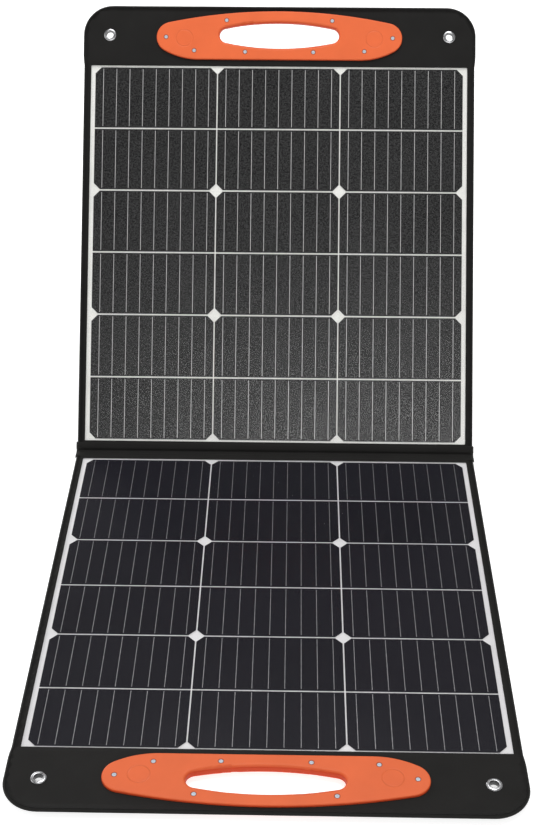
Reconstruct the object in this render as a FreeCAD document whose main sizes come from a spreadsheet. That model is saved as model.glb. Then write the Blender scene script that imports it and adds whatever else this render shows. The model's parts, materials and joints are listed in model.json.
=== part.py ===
"""Two-panel folding solar suitcase with carry handles, kickstands and a zipped cable pouch.

The two panels are alike. Each is drawn in a panel frame whose origin lies on the fold axis:
x runs along the fold, y runs away from the fold towards the carry handle, and z is the normal
of the light-catching front. One panel lies on the ground, the other leans back on its kickstand.
Each kickstand is drawn in a frame on its own hinge axis, with y running towards its foot.
"""

import FreeCAD, Part
import math
import os
import re
from types import SimpleNamespace

import Sketcher
from FreeCAD import Placement, Rotation, Vector

# Driving dimensions in millimetres and degrees.
DIMENSIONS = {
    # whole panel
    "panel_width": 535,
    "panel_reach": 609,
    "panel_thickness": 5,
    "fold_rise": 3.2,
    "lean_angle": 53.4,
    "cover_start": 4,
    "flap_corner_radius": 40,
    "flap_board_seam": 76,
    "flap_board_gap": 0.3,
    "edge_width": 4,
    # layers
    "front_fabric": 1.0,
    "back_fabric": 0.8,
    "board_thickness": 1.7,
    "backsheet_thickness": 0.3,
    "encapsulant_thickness": 1.0,
    "film_thickness": 0.2,
    # window and laminate
    "window_start": 13,
    "window_size": 513,
    "lap_side": 7,
    "lap_fold": 5,
    "lap_flap": 7,
    "seam_width": 4,
    # solar cells
    "cell_width": 166,
    "cell_length": 83,
    "cell_thickness": 0.2,
    "cell_corner": 8.3,
    "cell_bed": 0.4,
    "column_pitch": 167.6,
    "row_pitch": 85,
    "busbar_width": 0.7,
    "busbar_thickness": 0.12,
    "busbar_pitch": 18,
    "busbar_inset": 2,
    "bus_ribbon_width": 5,
    "bus_ribbon_thickness": 0.2,
    "bus_ribbon_margin": 1,
    # fold
    "fold_clearance": 0.2,
    "fold_fabric": 1.2,
    "link_width": 12,
    "link_thickness": 0.3,
    "link_offset": 60,
    # carry handle
    "handle_start": 534.5,
    "handle_height": 67.2,
    "handle_proud": 3.0,
    "handle_straight": 110,
    "handle_base_radius": 95,
    "handle_tip_radius": 21,
    "handle_crown_radius": 720,
    "handle_rim_radius": 1.8,
    "hole_centre": 568.4,
    "hole_half_height": 17.8,
    "hole_arc_radius": 355,
    "hole_end_radius": 10.4,
    "hole_lip_radius": 3.6,
    "collar_wall": 4.8,
    "collar_play": 0.2,
    "collar_gap": 0.1,
    # handle screws, four on each side of the middle
    "screw_inner_side": 46.5,
    "screw_inner_reach": 545,
    "screw_outer_side": 116,
    "screw_outer_reach": 546.5,
    "screw_end_side": 154.5,
    "screw_end_reach": 565,
    "screw_crown_side": 72,
    "screw_crown_reach": 588.5,
    "screw_radius": 1.5,
    "screw_clearance": 0.2,
    "screw_head_radius": 2.5,
    "screw_head_height": 1.1,
    "screw_sink_radius": 2.7,
    "screw_sink_depth": 1.2,
    "screw_tip_wall": 1.0,
    "screw_slot_length": 3,
    "screw_slot_width": 0.6,
    "screw_slot_depth": 0.5,
    # handle magnets
    "magnet_side": 129.5,
    "magnet_reach": 563.5,
    "magnet_radius": 10,
    "magnet_thickness": 2.0,
    "magnet_play": 0.1,
    # grommets
    "grommet_side": 231.5,
    "grommet_reach": 568,
    "grommet_bore": 4.5,
    "grommet_barrel": 5.1,
    "grommet_flange": 8.4,
    "grommet_rise": 1.0,
    # kickstands
    "kick_hinge_reach": 345,
    "kick_open_angle": 61,
    "kick_width": 360,
    "kick_thickness": 5.8,
    "kick_gap": 0.35,
    "kick_board_thickness": 4.0,
    "kick_board_margin": 4,
    "tape_length": 24,
    "tape_thickness": 1.0,
    "tape_clearance": 0.5,
    # kickstand straps
    "strap_radius": 215,
    "strap_width": 18,
    "strap_thickness": 1.2,
    "strap_gap": 2,
    "strap_tab_length": 26,
    "strap_bundle_length": 104,
    "strap_bundle_thickness": 2.6,
    # cable pouch
    "pouch_start": 380,
    "pouch_length": 140,
    "pouch_width": 400,
    "pouch_depth": 12.4,
    "pouch_wall": 1.2,
    "zip_inset": 24,
    "zip_length": 356,
    "zip_slot": 8,
    "zip_coil_width": 2.4,
    "zip_coil_height": 2.0,
    "zip_travel_start": 168,
    "slider_length": 11,
    "slider_width": 8,
    "slider_skin": 0.9,
    "slider_clearance": 0.3,
    "slider_bridge_radius": 0.7,
    "pull_length": 24,
    "pull_width": 5,
    "pull_thickness": 1.6,
    "pull_eye_radius": 0.95,
    # junction box
    "box_side": 95,
    "box_reach": 440,
    "box_width": 110,
    "box_length": 62,
    "box_height": 8.4,
    "box_wall": 1.6,
    "box_lid": 1.6,
    "diode_radius": 2.2,
    "diode_length": 9,
    "diode_pitch": 16,
    "gland_radius": 4.2,
    "gland_bore": 2.6,
    "gland_length": 14,
}
d = SimpleNamespace(**DIMENSIONS)

CELL_COLUMNS = 3
CELL_ROWS = 6
BUSBARS_PER_CELL = 9

# Levels and places worked out from the driving dimensions, as formulas for expressions.
FRONT = "-fold_rise"
BACK = "-(fold_rise + panel_thickness)"
MIDDLE = "-(fold_rise + panel_thickness / 2)"
FOLD_HEIGHT = "(fold_rise + panel_thickness + kick_gap + kick_thickness)"
FOLD_Y = "((panel_reach * (1 - cos(lean_angle)) - (fold_rise + panel_thickness) * sin(lean_angle)) / 2)"
KICK_DEPTH = "(fold_rise + panel_thickness + kick_gap + kick_thickness / 2)"
KICK_LENGTH = (
    f"(({FOLD_HEIGHT} + kick_hinge_reach * sin(lean_angle) - {KICK_DEPTH} * cos(lean_angle)"
    " - kick_thickness / 2) / sin(180 - lean_angle - kick_open_angle))"
)
LAMINATE_WIDTH = "(window_size + 2 * lap_side)"
LAMINATE_START = "(window_start - lap_fold)"
LAMINATE_LENGTH = "(window_size + lap_fold + lap_flap)"
BOARD_LEVEL = f"({BACK} + back_fabric)"
BACKSHEET_LEVEL = f"({BOARD_LEVEL} + board_thickness)"
ENCAPSULANT_LEVEL = f"({BACKSHEET_LEVEL} + backsheet_thickness)"
FILM_LEVEL = f"({ENCAPSULANT_LEVEL} + encapsulant_thickness)"
FLAP_START = f"({LAMINATE_START} + {LAMINATE_LENGTH} + seam_width)"
FLAP_CORE_HEIGHT = "(panel_thickness - front_fabric - back_fabric)"
LINK_LEVEL = f"({FRONT} - fold_fabric - link_thickness - fold_clearance)"

doc = FreeCAD.newDocument("SolarSuitcase")
sheet = doc.addObject("Spreadsheet::Sheet", "dims")
for row, (alias, size) in enumerate(DIMENSIONS.items(), start=1):
    sheet.set(f"A{row}", alias)
    sheet.set(f"B{row}", str(size))
    sheet.setAlias(f"B{row}", alias)
doc.recompute()

subparts = []


# ---------------------------------------------------------------- helpers


def formula(text):
    """An expression in which every driving dimension is read from the sheet."""

    def from_sheet(word):
        return f"dims.{word[0]}" if word[0] in DIMENSIONS else word[0]

    return re.sub(r"[a-z_]+", from_sheet, str(text))


def bind(item, prop, text):
    item.setExpression(prop, formula(text))


def new_body(label):
    body = doc.addObject("PartDesign::Body", label)
    body.Label = label
    body.AllowCompound = True
    subparts.append(body)
    return body


def block(body, size, low, cut=False):
    """A box from its three size formulas and the formulas of its lowest corner."""
    kind = "PartDesign::SubtractiveBox" if cut else "PartDesign::AdditiveBox"
    feature = body.newObject(kind, body.Label + ("_opening" if cut else "_block"))
    for prop, text in zip(("Length", "Width", "Height"), size):
        bind(feature, prop, text)
    for axis, text in zip("xyz", low):
        bind(feature, "Placement.Base." + axis, text)
    return feature


def centred_block(body, width, length, height, near, level, cut=False):
    """A box centred on x = 0."""
    return block(body, (width, length, height), (f"-({width}) / 2", near, level), cut)


def round_bar(body, radius, width, place, cut=False, start=None):
    """A cylinder along x, centred on x = 0 unless its start is given."""
    kind = "PartDesign::SubtractiveCylinder" if cut else "PartDesign::AdditiveCylinder"
    feature = body.newObject(kind, body.Label + ("_bore" if cut else "_round"))
    feature.Placement = Placement(Vector(), Rotation(Vector(0, 1, 0), 90))
    bind(feature, "Radius", radius)
    bind(feature, "Height", width)
    bind(feature, "Placement.Base.x", start or f"-({width}) / 2")
    for axis, text in zip("yz", place):
        bind(feature, "Placement.Base." + axis, text)
    return feature


def new_sketch(body, name, level):
    """A sketch parallel to the body's XY plane, at a height given by a formula."""
    sketch = body.newObject("Sketcher::SketchObject", f"{body.Label}_{name}")
    plane = next(o for o in body.Origin.OriginFeatures if o.Role == "XY_Plane")
    sketch.AttachmentSupport = [(plane, "")]
    sketch.MapMode = "FlatFace"
    bind(sketch, "AttachmentOffset.Base.z", level)
    return sketch


def constrain(sketch, name, kind, *where, text=None):
    """Adds one constraint, bound to a formula if it has one."""
    index = sketch.addConstraint(Sketcher.Constraint(kind, *where))
    if text is not None:
        sketch.renameConstraint(index, name)
        bind(sketch, f"Constraints.{name}", text)


def raise_sketch(body, sketch, height):
    pad = body.newObject("PartDesign::Pad", sketch.Name + "_pad")
    pad.Profile = sketch
    bind(pad, "Length", height)
    return pad


def sink_sketch(body, sketch, depth):
    """Cuts downwards from the sketch and makes sure that something was cut."""
    doc.recompute()
    before = body.Shape.Volume
    pocket = body.newObject("PartDesign::Pocket", sketch.Name + "_pocket")
    pocket.Profile = sketch
    bind(pocket, "Length", depth)
    doc.recompute()
    if body.Shape.Volume >= before - 1e-6:
        raise RuntimeError(f"{pocket.Name} cuts nothing")
    return pocket


def round_edges(body, base, edges, radius):
    fillet = body.newObject("PartDesign::Fillet", base.Name + "_fillet")
    fillet.Base = (base, edges)
    bind(fillet, "Radius", radius)
    doc.recompute()
    return fillet


def solid_feature(label, shape):
    """A sub-part whose shape is an array of separate solids."""
    feature = doc.addObject("Part::Feature", label)
    feature.Label = label
    feature.Shape = shape
    subparts.append(feature)
    return feature


# ---------------------------------------------------------------- outlines


def flap_outline(sketch, half_width, near, far, radius, numbers):
    """A rectangle across the panel whose two far corners, at the handle end, are rounded."""
    w, y0, y1, r = numbers
    lines = [
        Part.LineSegment(Vector(-w, y0), Vector(w, y0)),
        Part.LineSegment(Vector(w, y0), Vector(w, y1 - r)),
        Part.ArcOfCircle(Part.Circle(Vector(w - r, y1 - r), Vector(0, 0, 1), r), 0, math.pi / 2),
        Part.LineSegment(Vector(w - r, y1), Vector(r - w, y1)),
        Part.ArcOfCircle(Part.Circle(Vector(r - w, y1 - r), Vector(0, 0, 1), r), math.pi / 2, math.pi),
        Part.LineSegment(Vector(-w, y1 - r), Vector(-w, y0)),
    ]
    near_line, right, right_arc, far_line, left_arc, left = sketch.addGeometry(lines, False)
    constrain(sketch, "", "Coincident", near_line, 2, right, 1)
    constrain(sketch, "", "Tangent", right, 2, right_arc, 1)
    constrain(sketch, "", "Tangent", right_arc, 2, far_line, 1)
    constrain(sketch, "", "Tangent", far_line, 2, left_arc, 1)
    constrain(sketch, "", "Tangent", left_arc, 2, left, 1)
    constrain(sketch, "", "Coincident", left, 2, near_line, 1)
    constrain(sketch, "", "Symmetric", near_line, 1, near_line, 2, -2)
    constrain(sketch, "", "Horizontal", far_line)
    constrain(sketch, "", "Vertical", left)
    constrain(sketch, "", "Vertical", right)
    constrain(sketch, "", "Equal", left_arc, right_arc)
    constrain(sketch, "width", "DistanceX", near_line, 1, near_line, 2, 2 * w, text=f"2 * ({half_width})")
    constrain(sketch, "near", "DistanceY", -1, 1, near_line, 1, y0, text=near)
    constrain(sketch, "far", "DistanceY", -1, 1, far_line, 1, y1, text=far)
    constrain(sketch, "corner", "Radius", right_arc, r, text=radius)


def tip_centre():
    """Where the handle's end arc is centred, so that it touches the base arc and the crown arc."""
    low = Vector(d.handle_straight, d.handle_start + d.handle_base_radius)
    high = Vector(0, d.handle_start + d.handle_height - d.handle_crown_radius)
    low_reach = d.handle_base_radius - d.handle_tip_radius
    high_reach = d.handle_crown_radius - d.handle_tip_radius
    span = high - low
    along = (low_reach**2 - high_reach**2 + span.Length**2) / (2 * span.Length)
    side = math.sqrt(low_reach**2 - along**2)
    unit = span / span.Length
    return low + unit * along + Vector(-unit.y, unit.x) * side


def handle_outline(sketch):
    """Straight base, a wide arc at each end of it, a tight arc at each tip and a long crown arc."""
    base_y = d.handle_start
    base = Vector(d.handle_straight, base_y + d.handle_base_radius)
    crown = Vector(0, base_y + d.handle_height - d.handle_crown_radius)
    tip = tip_centre()
    turn_low = math.atan2(tip.y - base.y, tip.x - base.x)
    turn_high = math.atan2(tip.y - crown.y, tip.x - crown.x)

    def arc(centre, radius, start, end):
        return Part.ArcOfCircle(Part.Circle(centre, Vector(0, 0, 1), radius), start, end)

    chain = sketch.addGeometry(
        [
            Part.LineSegment(Vector(-base.x, base_y), Vector(base.x, base_y)),
            arc(base, d.handle_base_radius, -math.pi / 2, turn_low),
            arc(tip, d.handle_tip_radius, turn_low, turn_high),
            arc(crown, d.handle_crown_radius, turn_high, math.pi - turn_high),
            arc(Vector(-tip.x, tip.y), d.handle_tip_radius, math.pi - turn_high, math.pi - turn_low),
            arc(Vector(-base.x, base.y), d.handle_base_radius, math.pi - turn_low, 1.5 * math.pi),
        ],
        False,
    )
    line, right_base, right_tip, crown_arc, left_tip, left_base = chain
    for here, following in zip(chain, chain[1:] + chain[:1]):
        constrain(sketch, "", "Tangent", here, 2, following, 1)
    constrain(sketch, "", "Symmetric", line, 1, line, 2, -2)
    constrain(sketch, "", "Equal", right_base, left_base)
    constrain(sketch, "", "Equal", right_tip, left_tip)
    constrain(sketch, "", "PointOnObject", crown_arc, 3, -2)
    constrain(sketch, "straight", "DistanceX", line, 1, line, 2, 2 * base.x, text="2 * handle_straight")
    constrain(sketch, "start", "DistanceY", -1, 1, line, 1, base_y, text="handle_start")
    constrain(sketch, "base", "Radius", right_base, d.handle_base_radius, text="handle_base_radius")
    constrain(sketch, "tip", "Radius", right_tip, d.handle_tip_radius, text="handle_tip_radius")
    constrain(sketch, "crown", "Radius", crown_arc, d.handle_crown_radius, text="handle_crown_radius")
    constrain(
        sketch, "crown_drop", "DistanceY", crown_arc, 3, -1, 1, -crown.y,
        text="handle_crown_radius - handle_start - handle_height",
    )


def hand_hole_outline(sketch, outset):
    """The lens-like hand hole, grown outwards by a dimension: two long arcs and two end arcs."""
    grow = sum(getattr(d, name) for name in outset)
    text = " + ".join(outset) if outset else "0"
    long_radius = d.hole_arc_radius + grow
    end_radius = d.hole_end_radius + grow
    rise = d.hole_arc_radius - d.hole_half_height
    end_x = math.sqrt((d.hole_arc_radius - d.hole_end_radius) ** 2 - rise**2)
    turn = math.atan2(rise, end_x)

    def arc(x, y, radius, start, end):
        return Part.ArcOfCircle(Part.Circle(Vector(x, y), Vector(0, 0, 1), radius), start, end)

    chain = sketch.addGeometry(
        [
            arc(0, d.hole_centre - rise, long_radius, turn, math.pi - turn),
            arc(-end_x, d.hole_centre, end_radius, math.pi - turn, math.pi + turn),
            arc(0, d.hole_centre + rise, long_radius, math.pi + turn, 2 * math.pi - turn),
            arc(end_x, d.hole_centre, end_radius, -turn, turn),
        ],
        False,
    )
    top, left, bottom, right = chain
    for here, following in zip(chain, chain[1:] + chain[:1]):
        constrain(sketch, "", "Tangent", here, 2, following, 1)
    constrain(sketch, "", "PointOnObject", top, 3, -2)
    constrain(sketch, "", "PointOnObject", bottom, 3, -2)
    constrain(sketch, "", "Equal", top, bottom)
    constrain(sketch, "", "Equal", left, right)
    constrain(sketch, "long_arc", "Radius", top, long_radius, text=f"hole_arc_radius + {text}")
    constrain(sketch, "end_arc", "Radius", right, end_radius, text=f"hole_end_radius + {text}")
    constrain(
        sketch, "top_centre", "DistanceY", -1, 1, top, 3, d.hole_centre - rise,
        text="hole_centre + hole_half_height - hole_arc_radius",
    )
    constrain(
        sketch, "bottom_centre", "DistanceY", -1, 1, bottom, 3, d.hole_centre + rise,
        text="hole_centre - hole_half_height + hole_arc_radius",
    )


def circles_outline(sketch, places, radius):
    """Equal circles at mirrored places: each place names its side and reach dimensions."""
    for number, (side, reach) in enumerate(places):
        for sign in (1, -1):
            centre = Vector(sign * getattr(d, side), getattr(d, reach))
            index = sketch.addGeometry(Part.Circle(centre, Vector(0, 0, 1), 1), False)
            tag = f"{number}{'right' if sign > 0 else 'left'}"
            ends = (-1, 1, index, 3) if sign > 0 else (index, 3, -1, 1)
            constrain(sketch, f"side{tag}", "DistanceX", *ends, getattr(d, side), text=side)
            constrain(sketch, f"reach{tag}", "DistanceY", -1, 1, index, 3, getattr(d, reach), text=reach)
            constrain(sketch, f"radius{tag}", "Radius", index, 1, text=radius)


SCREW_PLACES = [
    ("screw_inner_side", "screw_inner_reach"),
    ("screw_outer_side", "screw_outer_reach"),
    ("screw_end_side", "screw_end_reach"),
    ("screw_crown_side", "screw_crown_reach"),
]
MAGNET_PLACES = [("magnet_side", "magnet_reach")]
GROMMET_PLACES = [("grommet_side", "grommet_reach")]


def mirrored_places(places):
    for side, reach in places:
        for sign in (1, -1):
            yield sign * getattr(d, side), getattr(d, reach)


def drill(body, name, places, radius, level, depth):
    sketch = new_sketch(body, name, level)
    circles_outline(sketch, places, radius)
    sink_sketch(body, sketch, depth)


def open_flap(body, level, depth):
    """The openings through one layer of the handle flap: hand hole, handle screws and grommets."""
    sketch = new_sketch(body, "collar_opening", level)
    hand_hole_outline(sketch, ["collar_wall", "collar_play"])
    sink_sketch(body, sketch, depth)
    drill(body, "screw_holes", SCREW_PLACES, "screw_radius + screw_clearance", level, depth)
    drill(body, "grommet_holes", GROMMET_PLACES, "grommet_barrel + screw_clearance", level, depth)


# ---------------------------------------------------------------- laminate


def laminate_layer(label, level, thickness):
    body = new_body(label)
    centred_block(body, LAMINATE_WIDTH, LAMINATE_LENGTH, thickness, LAMINATE_START, level)
    return body


def layer_levels():
    """Heights of the thin layers in the panel frame, for the arrays of solids."""
    back = -(d.fold_rise + d.panel_thickness)
    sheet_top = back + d.back_fabric + d.board_thickness + d.backsheet_thickness
    cell = sheet_top + d.cell_bed
    return sheet_top, cell, cell + d.cell_thickness


def cell_centres():
    """Centre of every half cell, with the row it is in."""
    middle = d.window_start + d.window_size / 2
    for column in range(CELL_COLUMNS):
        for row in range(CELL_ROWS):
            x = (column - (CELL_COLUMNS - 1) / 2) * d.column_pitch
            y = middle + (row - (CELL_ROWS - 1) / 2) * d.row_pitch
            yield x, y, row


def half_cell(x, y, row, level):
    """Half of a pseudo-square cell: its two outer corners are cut, and its cut edge is plain."""
    w, h, c = d.cell_width / 2, d.cell_length / 2, d.cell_corner
    side = -1 if row % 2 == 0 else 1
    plain_edge = [(-w, -side * h), (w, -side * h)]
    cut_corners = [(w, side * (h - c)), (w - c, side * h), (c - w, side * h), (-w, side * (h - c))]
    corners = plain_edge + cut_corners
    points = [Vector(x + px, y + py, level) for px, py in corners]
    return Part.Face(Part.makePolygon(points + points[:1])).extrude(Vector(0, 0, d.cell_thickness))


def cell_solids():
    level = layer_levels()[1]
    return [half_cell(x, y, row, level) for x, y, row in cell_centres()]


def busbar_solids():
    """The thin metal lines that run along each half cell and stop just short of its edges."""
    level = layer_levels()[2]
    length = d.cell_length - 2 * d.busbar_inset
    solids = []
    for x, y, _ in cell_centres():
        for number in range(BUSBARS_PER_CELL):
            middle = x + (number - (BUSBARS_PER_CELL - 1) / 2) * d.busbar_pitch
            low = Vector(middle - d.busbar_width / 2, y - length / 2, level)
            solids.append(Part.makeBox(d.busbar_width, length, d.busbar_thickness, low))
    return solids


def bus_ribbon_solids():
    """Cross ribbons that join the cell strings at both ends of the laminate, beside the window."""
    level = layer_levels()[1]
    start = d.window_start - d.lap_fold
    end = d.window_start + d.window_size + d.lap_flap
    width = d.window_size - 2 * d.lap_side
    half = (width - d.bus_ribbon_width) / 2
    near = start + d.lap_fold - d.bus_ribbon_width
    far = end - d.lap_flap + d.bus_ribbon_margin
    solids = []
    for low in (Vector(-width / 2, near, level), Vector(width / 2 - half, near, level)):
        narrow = d.bus_ribbon_width - d.bus_ribbon_margin
        solids.append(Part.makeBox(half, narrow, d.bus_ribbon_thickness, low))
    far_low = Vector(-width / 2, far, level)
    solids.append(Part.makeBox(width, d.bus_ribbon_width, d.bus_ribbon_thickness, far_low))
    return solids


def encapsulant_solid(inner):
    sheet_top = layer_levels()[0]
    width = d.window_size + 2 * d.lap_side
    length = d.window_size + d.lap_fold + d.lap_flap
    low = Vector(-width / 2, d.window_start - d.lap_fold, sheet_top)
    return Part.makeBox(width, length, d.encapsulant_thickness, low).cut(inner)


def build_laminate(side):
    laminate_layer(f"{side}_front_film", FILM_LEVEL, "film_thickness")
    cells, busbars, ribbons = cell_solids(), busbar_solids(), bus_ribbon_solids()
    solid_feature(f"{side}_encapsulant", encapsulant_solid(cells + busbars + ribbons))
    solid_feature(f"{side}_solar_cells", Part.makeCompound(cells))
    solid_feature(f"{side}_cell_busbars", Part.makeCompound(busbars))
    solid_feature(f"{side}_bus_ribbons", Part.makeCompound(ribbons))
    laminate_layer(f"{side}_backsheet", BACKSHEET_LEVEL, "backsheet_thickness")
    laminate_layer(f"{side}_stiffener_board", BOARD_LEVEL, "board_thickness")


# ---------------------------------------------------------------- covers and flap


def cover_plate(label, level, thickness):
    """A layer with the whole panel's outline, from the fold side to the end of the handle flap."""
    body = new_body(label)
    sketch = new_sketch(body, "outline", level)
    numbers = (d.panel_width / 2, d.cover_start, d.panel_reach, d.flap_corner_radius)
    flap_outline(sketch, "panel_width / 2", "cover_start", "panel_reach", "flap_corner_radius", numbers)
    raise_sketch(body, sketch, thickness)
    return body


def build_front_cover(side):
    level = f"{FRONT} - front_fabric"
    body = cover_plate(f"{side}_front_cover", level, "front_fabric")
    centred_block(body, "window_size", "window_size", "front_fabric", "window_start", level, cut=True)
    open_flap(body, FRONT, "front_fabric")


def build_back_cover(side):
    body = cover_plate(f"{side}_back_cover", BACK, "back_fabric")
    open_flap(body, BOARD_LEVEL, "back_fabric")


def build_edge_piping(side):
    """The padded edge that fills the rim between the two covers, with a seam across the panel."""
    body = cover_plate(f"{side}_edge_piping", BOARD_LEVEL, FLAP_CORE_HEIGHT)
    laminate_size = (LAMINATE_WIDTH, LAMINATE_LENGTH, FLAP_CORE_HEIGHT)
    centred_block(body, *laminate_size, LAMINATE_START, BOARD_LEVEL, cut=True)
    flap_core_outline_cut(body)
    for sign in (1, -1):
        low = (f"{sign} * link_offset - link_width / 2", "cover_start", LINK_LEVEL)
        block(body, ("link_width", f"{LAMINATE_START} - cover_start", "link_thickness"), low, cut=True)


def flap_core_sketch(body, level):
    sketch = new_sketch(body, "flap_core", level)
    flap_start = d.window_start + d.window_size + d.lap_flap + d.seam_width
    numbers = (
        d.window_size / 2 + d.lap_side,
        flap_start,
        d.panel_reach - d.edge_width,
        d.flap_corner_radius - d.edge_width,
    )
    flap_outline(
        sketch, f"{LAMINATE_WIDTH} / 2", FLAP_START, "panel_reach - edge_width",
        "flap_corner_radius - edge_width", numbers,
    )
    return sketch


def flap_core_outline_cut(body):
    sketch = flap_core_sketch(body, f"{BOARD_LEVEL} + {FLAP_CORE_HEIGHT}")
    sink_sketch(body, sketch, FLAP_CORE_HEIGHT)


def build_flap_stiffener(side):
    """Six butted boards round the hand hole: one at each end and four between them."""
    body = new_body(f"{side}_flap_stiffener")
    sketch = flap_core_sketch(body, BOARD_LEVEL)
    raise_sketch(body, sketch, FLAP_CORE_HEIGHT)
    open_flap(body, f"{BOARD_LEVEL} + {FLAP_CORE_HEIGHT}", FLAP_CORE_HEIGHT)
    for seam in ("-flap_board_seam", "0", "flap_board_seam"):
        size = ("flap_board_gap", "panel_reach", FLAP_CORE_HEIGHT)
        block(body, size, (f"{seam} - flap_board_gap / 2", "0", BOARD_LEVEL), cut=True)


# ---------------------------------------------------------------- fold


def build_fold(side):
    """This panel's half of the fabric hinge and of the flat wires that cross the fold under it."""
    strip = new_body(f"{side}_fold_strip")
    length = "cover_start - fold_clearance"
    centred_block(strip, "panel_width", length, "fold_fabric", "fold_clearance", f"{FRONT} - fold_fabric")
    links = new_body(f"{side}_link_ribbons")
    for sign in (1, -1):
        low = (f"{sign} * link_offset - link_width / 2", "fold_clearance", LINK_LEVEL)
        block(links, ("link_width", f"{LAMINATE_START} - fold_clearance", "link_thickness"), low)


# ---------------------------------------------------------------- carry handle


# An ellipse between the hand hole and the handle's rim tells their edges apart.
SEARCH_HALF_WIDTH = 94
SEARCH_HALF_HEIGHT = 18.6


def shell_edges(shape, level, inside):
    """Edges of a handle shell that lie at one level, around the hand hole or around the rim."""
    found = []
    for number, edge in enumerate(shape.Edges, start=1):
        if all(abs(vertex.Z - level) < 1e-4 for vertex in edge.Vertexes):
            middle = edge.valueAt((edge.FirstParameter + edge.LastParameter) / 2)
            x = middle.x / SEARCH_HALF_WIDTH
            y = (middle.y - d.hole_centre) / SEARCH_HALF_HEIGHT
            if abs(middle.z - level) < 1e-4 and (x * x + y * y < 1) == inside:
                found.append(f"Edge{number}")
    return found


def handle_shell(label, level, collar_level, hole_level, rim_level):
    """A shell with a collar into the flap's opening, a rounded rim and a rounded grip at the hole."""
    body = new_body(label)
    outline = new_sketch(body, "outline", level)
    handle_outline(outline)
    raise_sketch(body, outline, "handle_proud")
    collar = new_sketch(body, "collar", collar_level)
    hand_hole_outline(collar, ["collar_wall"])
    raise_sketch(body, collar, "panel_thickness / 2 - collar_gap / 2")
    hole = new_sketch(body, "hand_hole", hole_level)
    hand_hole_outline(hole, [])
    base = sink_sketch(body, hole, "handle_proud + panel_thickness")
    lip = round_edges(body, base, shell_edges(base.Shape, rim_level, True), "hole_lip_radius")
    round_edges(body, lip, shell_edges(lip.Shape, rim_level, False), "handle_rim_radius")
    return body


def build_handle(side):
    top = f"{FRONT} + handle_proud"
    front = handle_shell(
        f"{side}_handle_front", FRONT, f"{MIDDLE} + collar_gap / 2", top, d.handle_proud - d.fold_rise
    )
    drill(front, "screw_sinks", SCREW_PLACES, "screw_sink_radius", top, "screw_sink_depth")
    drill(front, "screw_holes", SCREW_PLACES, "screw_radius + screw_clearance", top, "handle_proud")
    pocket = "magnet_thickness + magnet_play"
    seat_radius = "magnet_radius + magnet_play"
    drill(front, "magnet_seats", MAGNET_PLACES, seat_radius, f"{FRONT} + {pocket}", pocket)
    bottom = -(d.fold_rise + d.panel_thickness + d.handle_proud)
    rear = handle_shell(
        f"{side}_handle_rear", f"{BACK} - handle_proud", BACK, f"{MIDDLE} - collar_gap / 2", bottom
    )
    drill(rear, "screw_pilots", SCREW_PLACES, "screw_radius", BACK, "handle_proud - screw_tip_wall")


def screw_solid(x, y):
    """One handle screw with its cross-slotted head in the front shell and its tip in the rear shell."""
    seat = d.handle_proud - d.fold_rise - d.screw_sink_depth
    tip = -(d.fold_rise + d.panel_thickness + d.handle_proud - d.screw_tip_wall)
    shaft = Part.makeCylinder(d.screw_radius, seat - tip, Vector(x, y, tip))
    head = Part.makeCylinder(d.screw_head_radius, d.screw_head_height, Vector(x, y, seat))
    length, width, depth = d.screw_slot_length, d.screw_slot_width, d.screw_slot_depth
    floor = seat + d.screw_head_height - depth
    slot = Part.makeBox(length, width, depth, Vector(x - length / 2, y - width / 2, floor))
    cross = Part.makeBox(width, length, depth, Vector(x - width / 2, y - length / 2, floor))
    return shaft.fuse(head).cut([slot, cross]).removeSplitter()


def build_handle_hardware(side):
    screws = [screw_solid(x, y) for x, y in mirrored_places(SCREW_PLACES)]
    solid_feature(f"{side}_handle_screws", Part.makeCompound(screws))
    magnets = new_body(f"{side}_handle_magnets")
    seat = new_sketch(magnets, "discs", FRONT)
    circles_outline(seat, MAGNET_PLACES, "magnet_radius")
    raise_sketch(magnets, seat, "magnet_thickness")


def ring_pad(body, name, outer, inner, level, height):
    outline = new_sketch(body, name, level)
    circles_outline(outline, GROMMET_PLACES, outer)
    bore = new_sketch(body, name + "_bore", f"{level} + {height}")
    circles_outline(bore, GROMMET_PLACES, inner)
    raise_sketch(body, outline, height)
    sink_sketch(body, bore, height)


def build_grommets(side):
    """Two eyelets whose barrels pass through the flap, each closed by a washer at the back."""
    eyelets = new_body(f"{side}_grommet_eyelets")
    flange = new_sketch(eyelets, "flange", FRONT)
    circles_outline(flange, GROMMET_PLACES, "grommet_flange")
    raise_sketch(eyelets, flange, "grommet_rise")
    barrel = new_sketch(eyelets, "barrel", f"{BACK} - grommet_rise")
    circles_outline(barrel, GROMMET_PLACES, "grommet_barrel")
    raise_sketch(eyelets, barrel, "panel_thickness + grommet_rise")
    drill(
        eyelets, "bore", GROMMET_PLACES, "grommet_bore", f"{FRONT} + grommet_rise",
        "panel_thickness + 2 * grommet_rise",
    )
    washers = new_body(f"{side}_grommet_washers")
    ring_pad(washers, "ring", "grommet_flange", "grommet_barrel", f"{BACK} - grommet_rise", "grommet_rise")


# ---------------------------------------------------------------- kickstand

KICK_TOP = "kick_thickness / 2"


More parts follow.
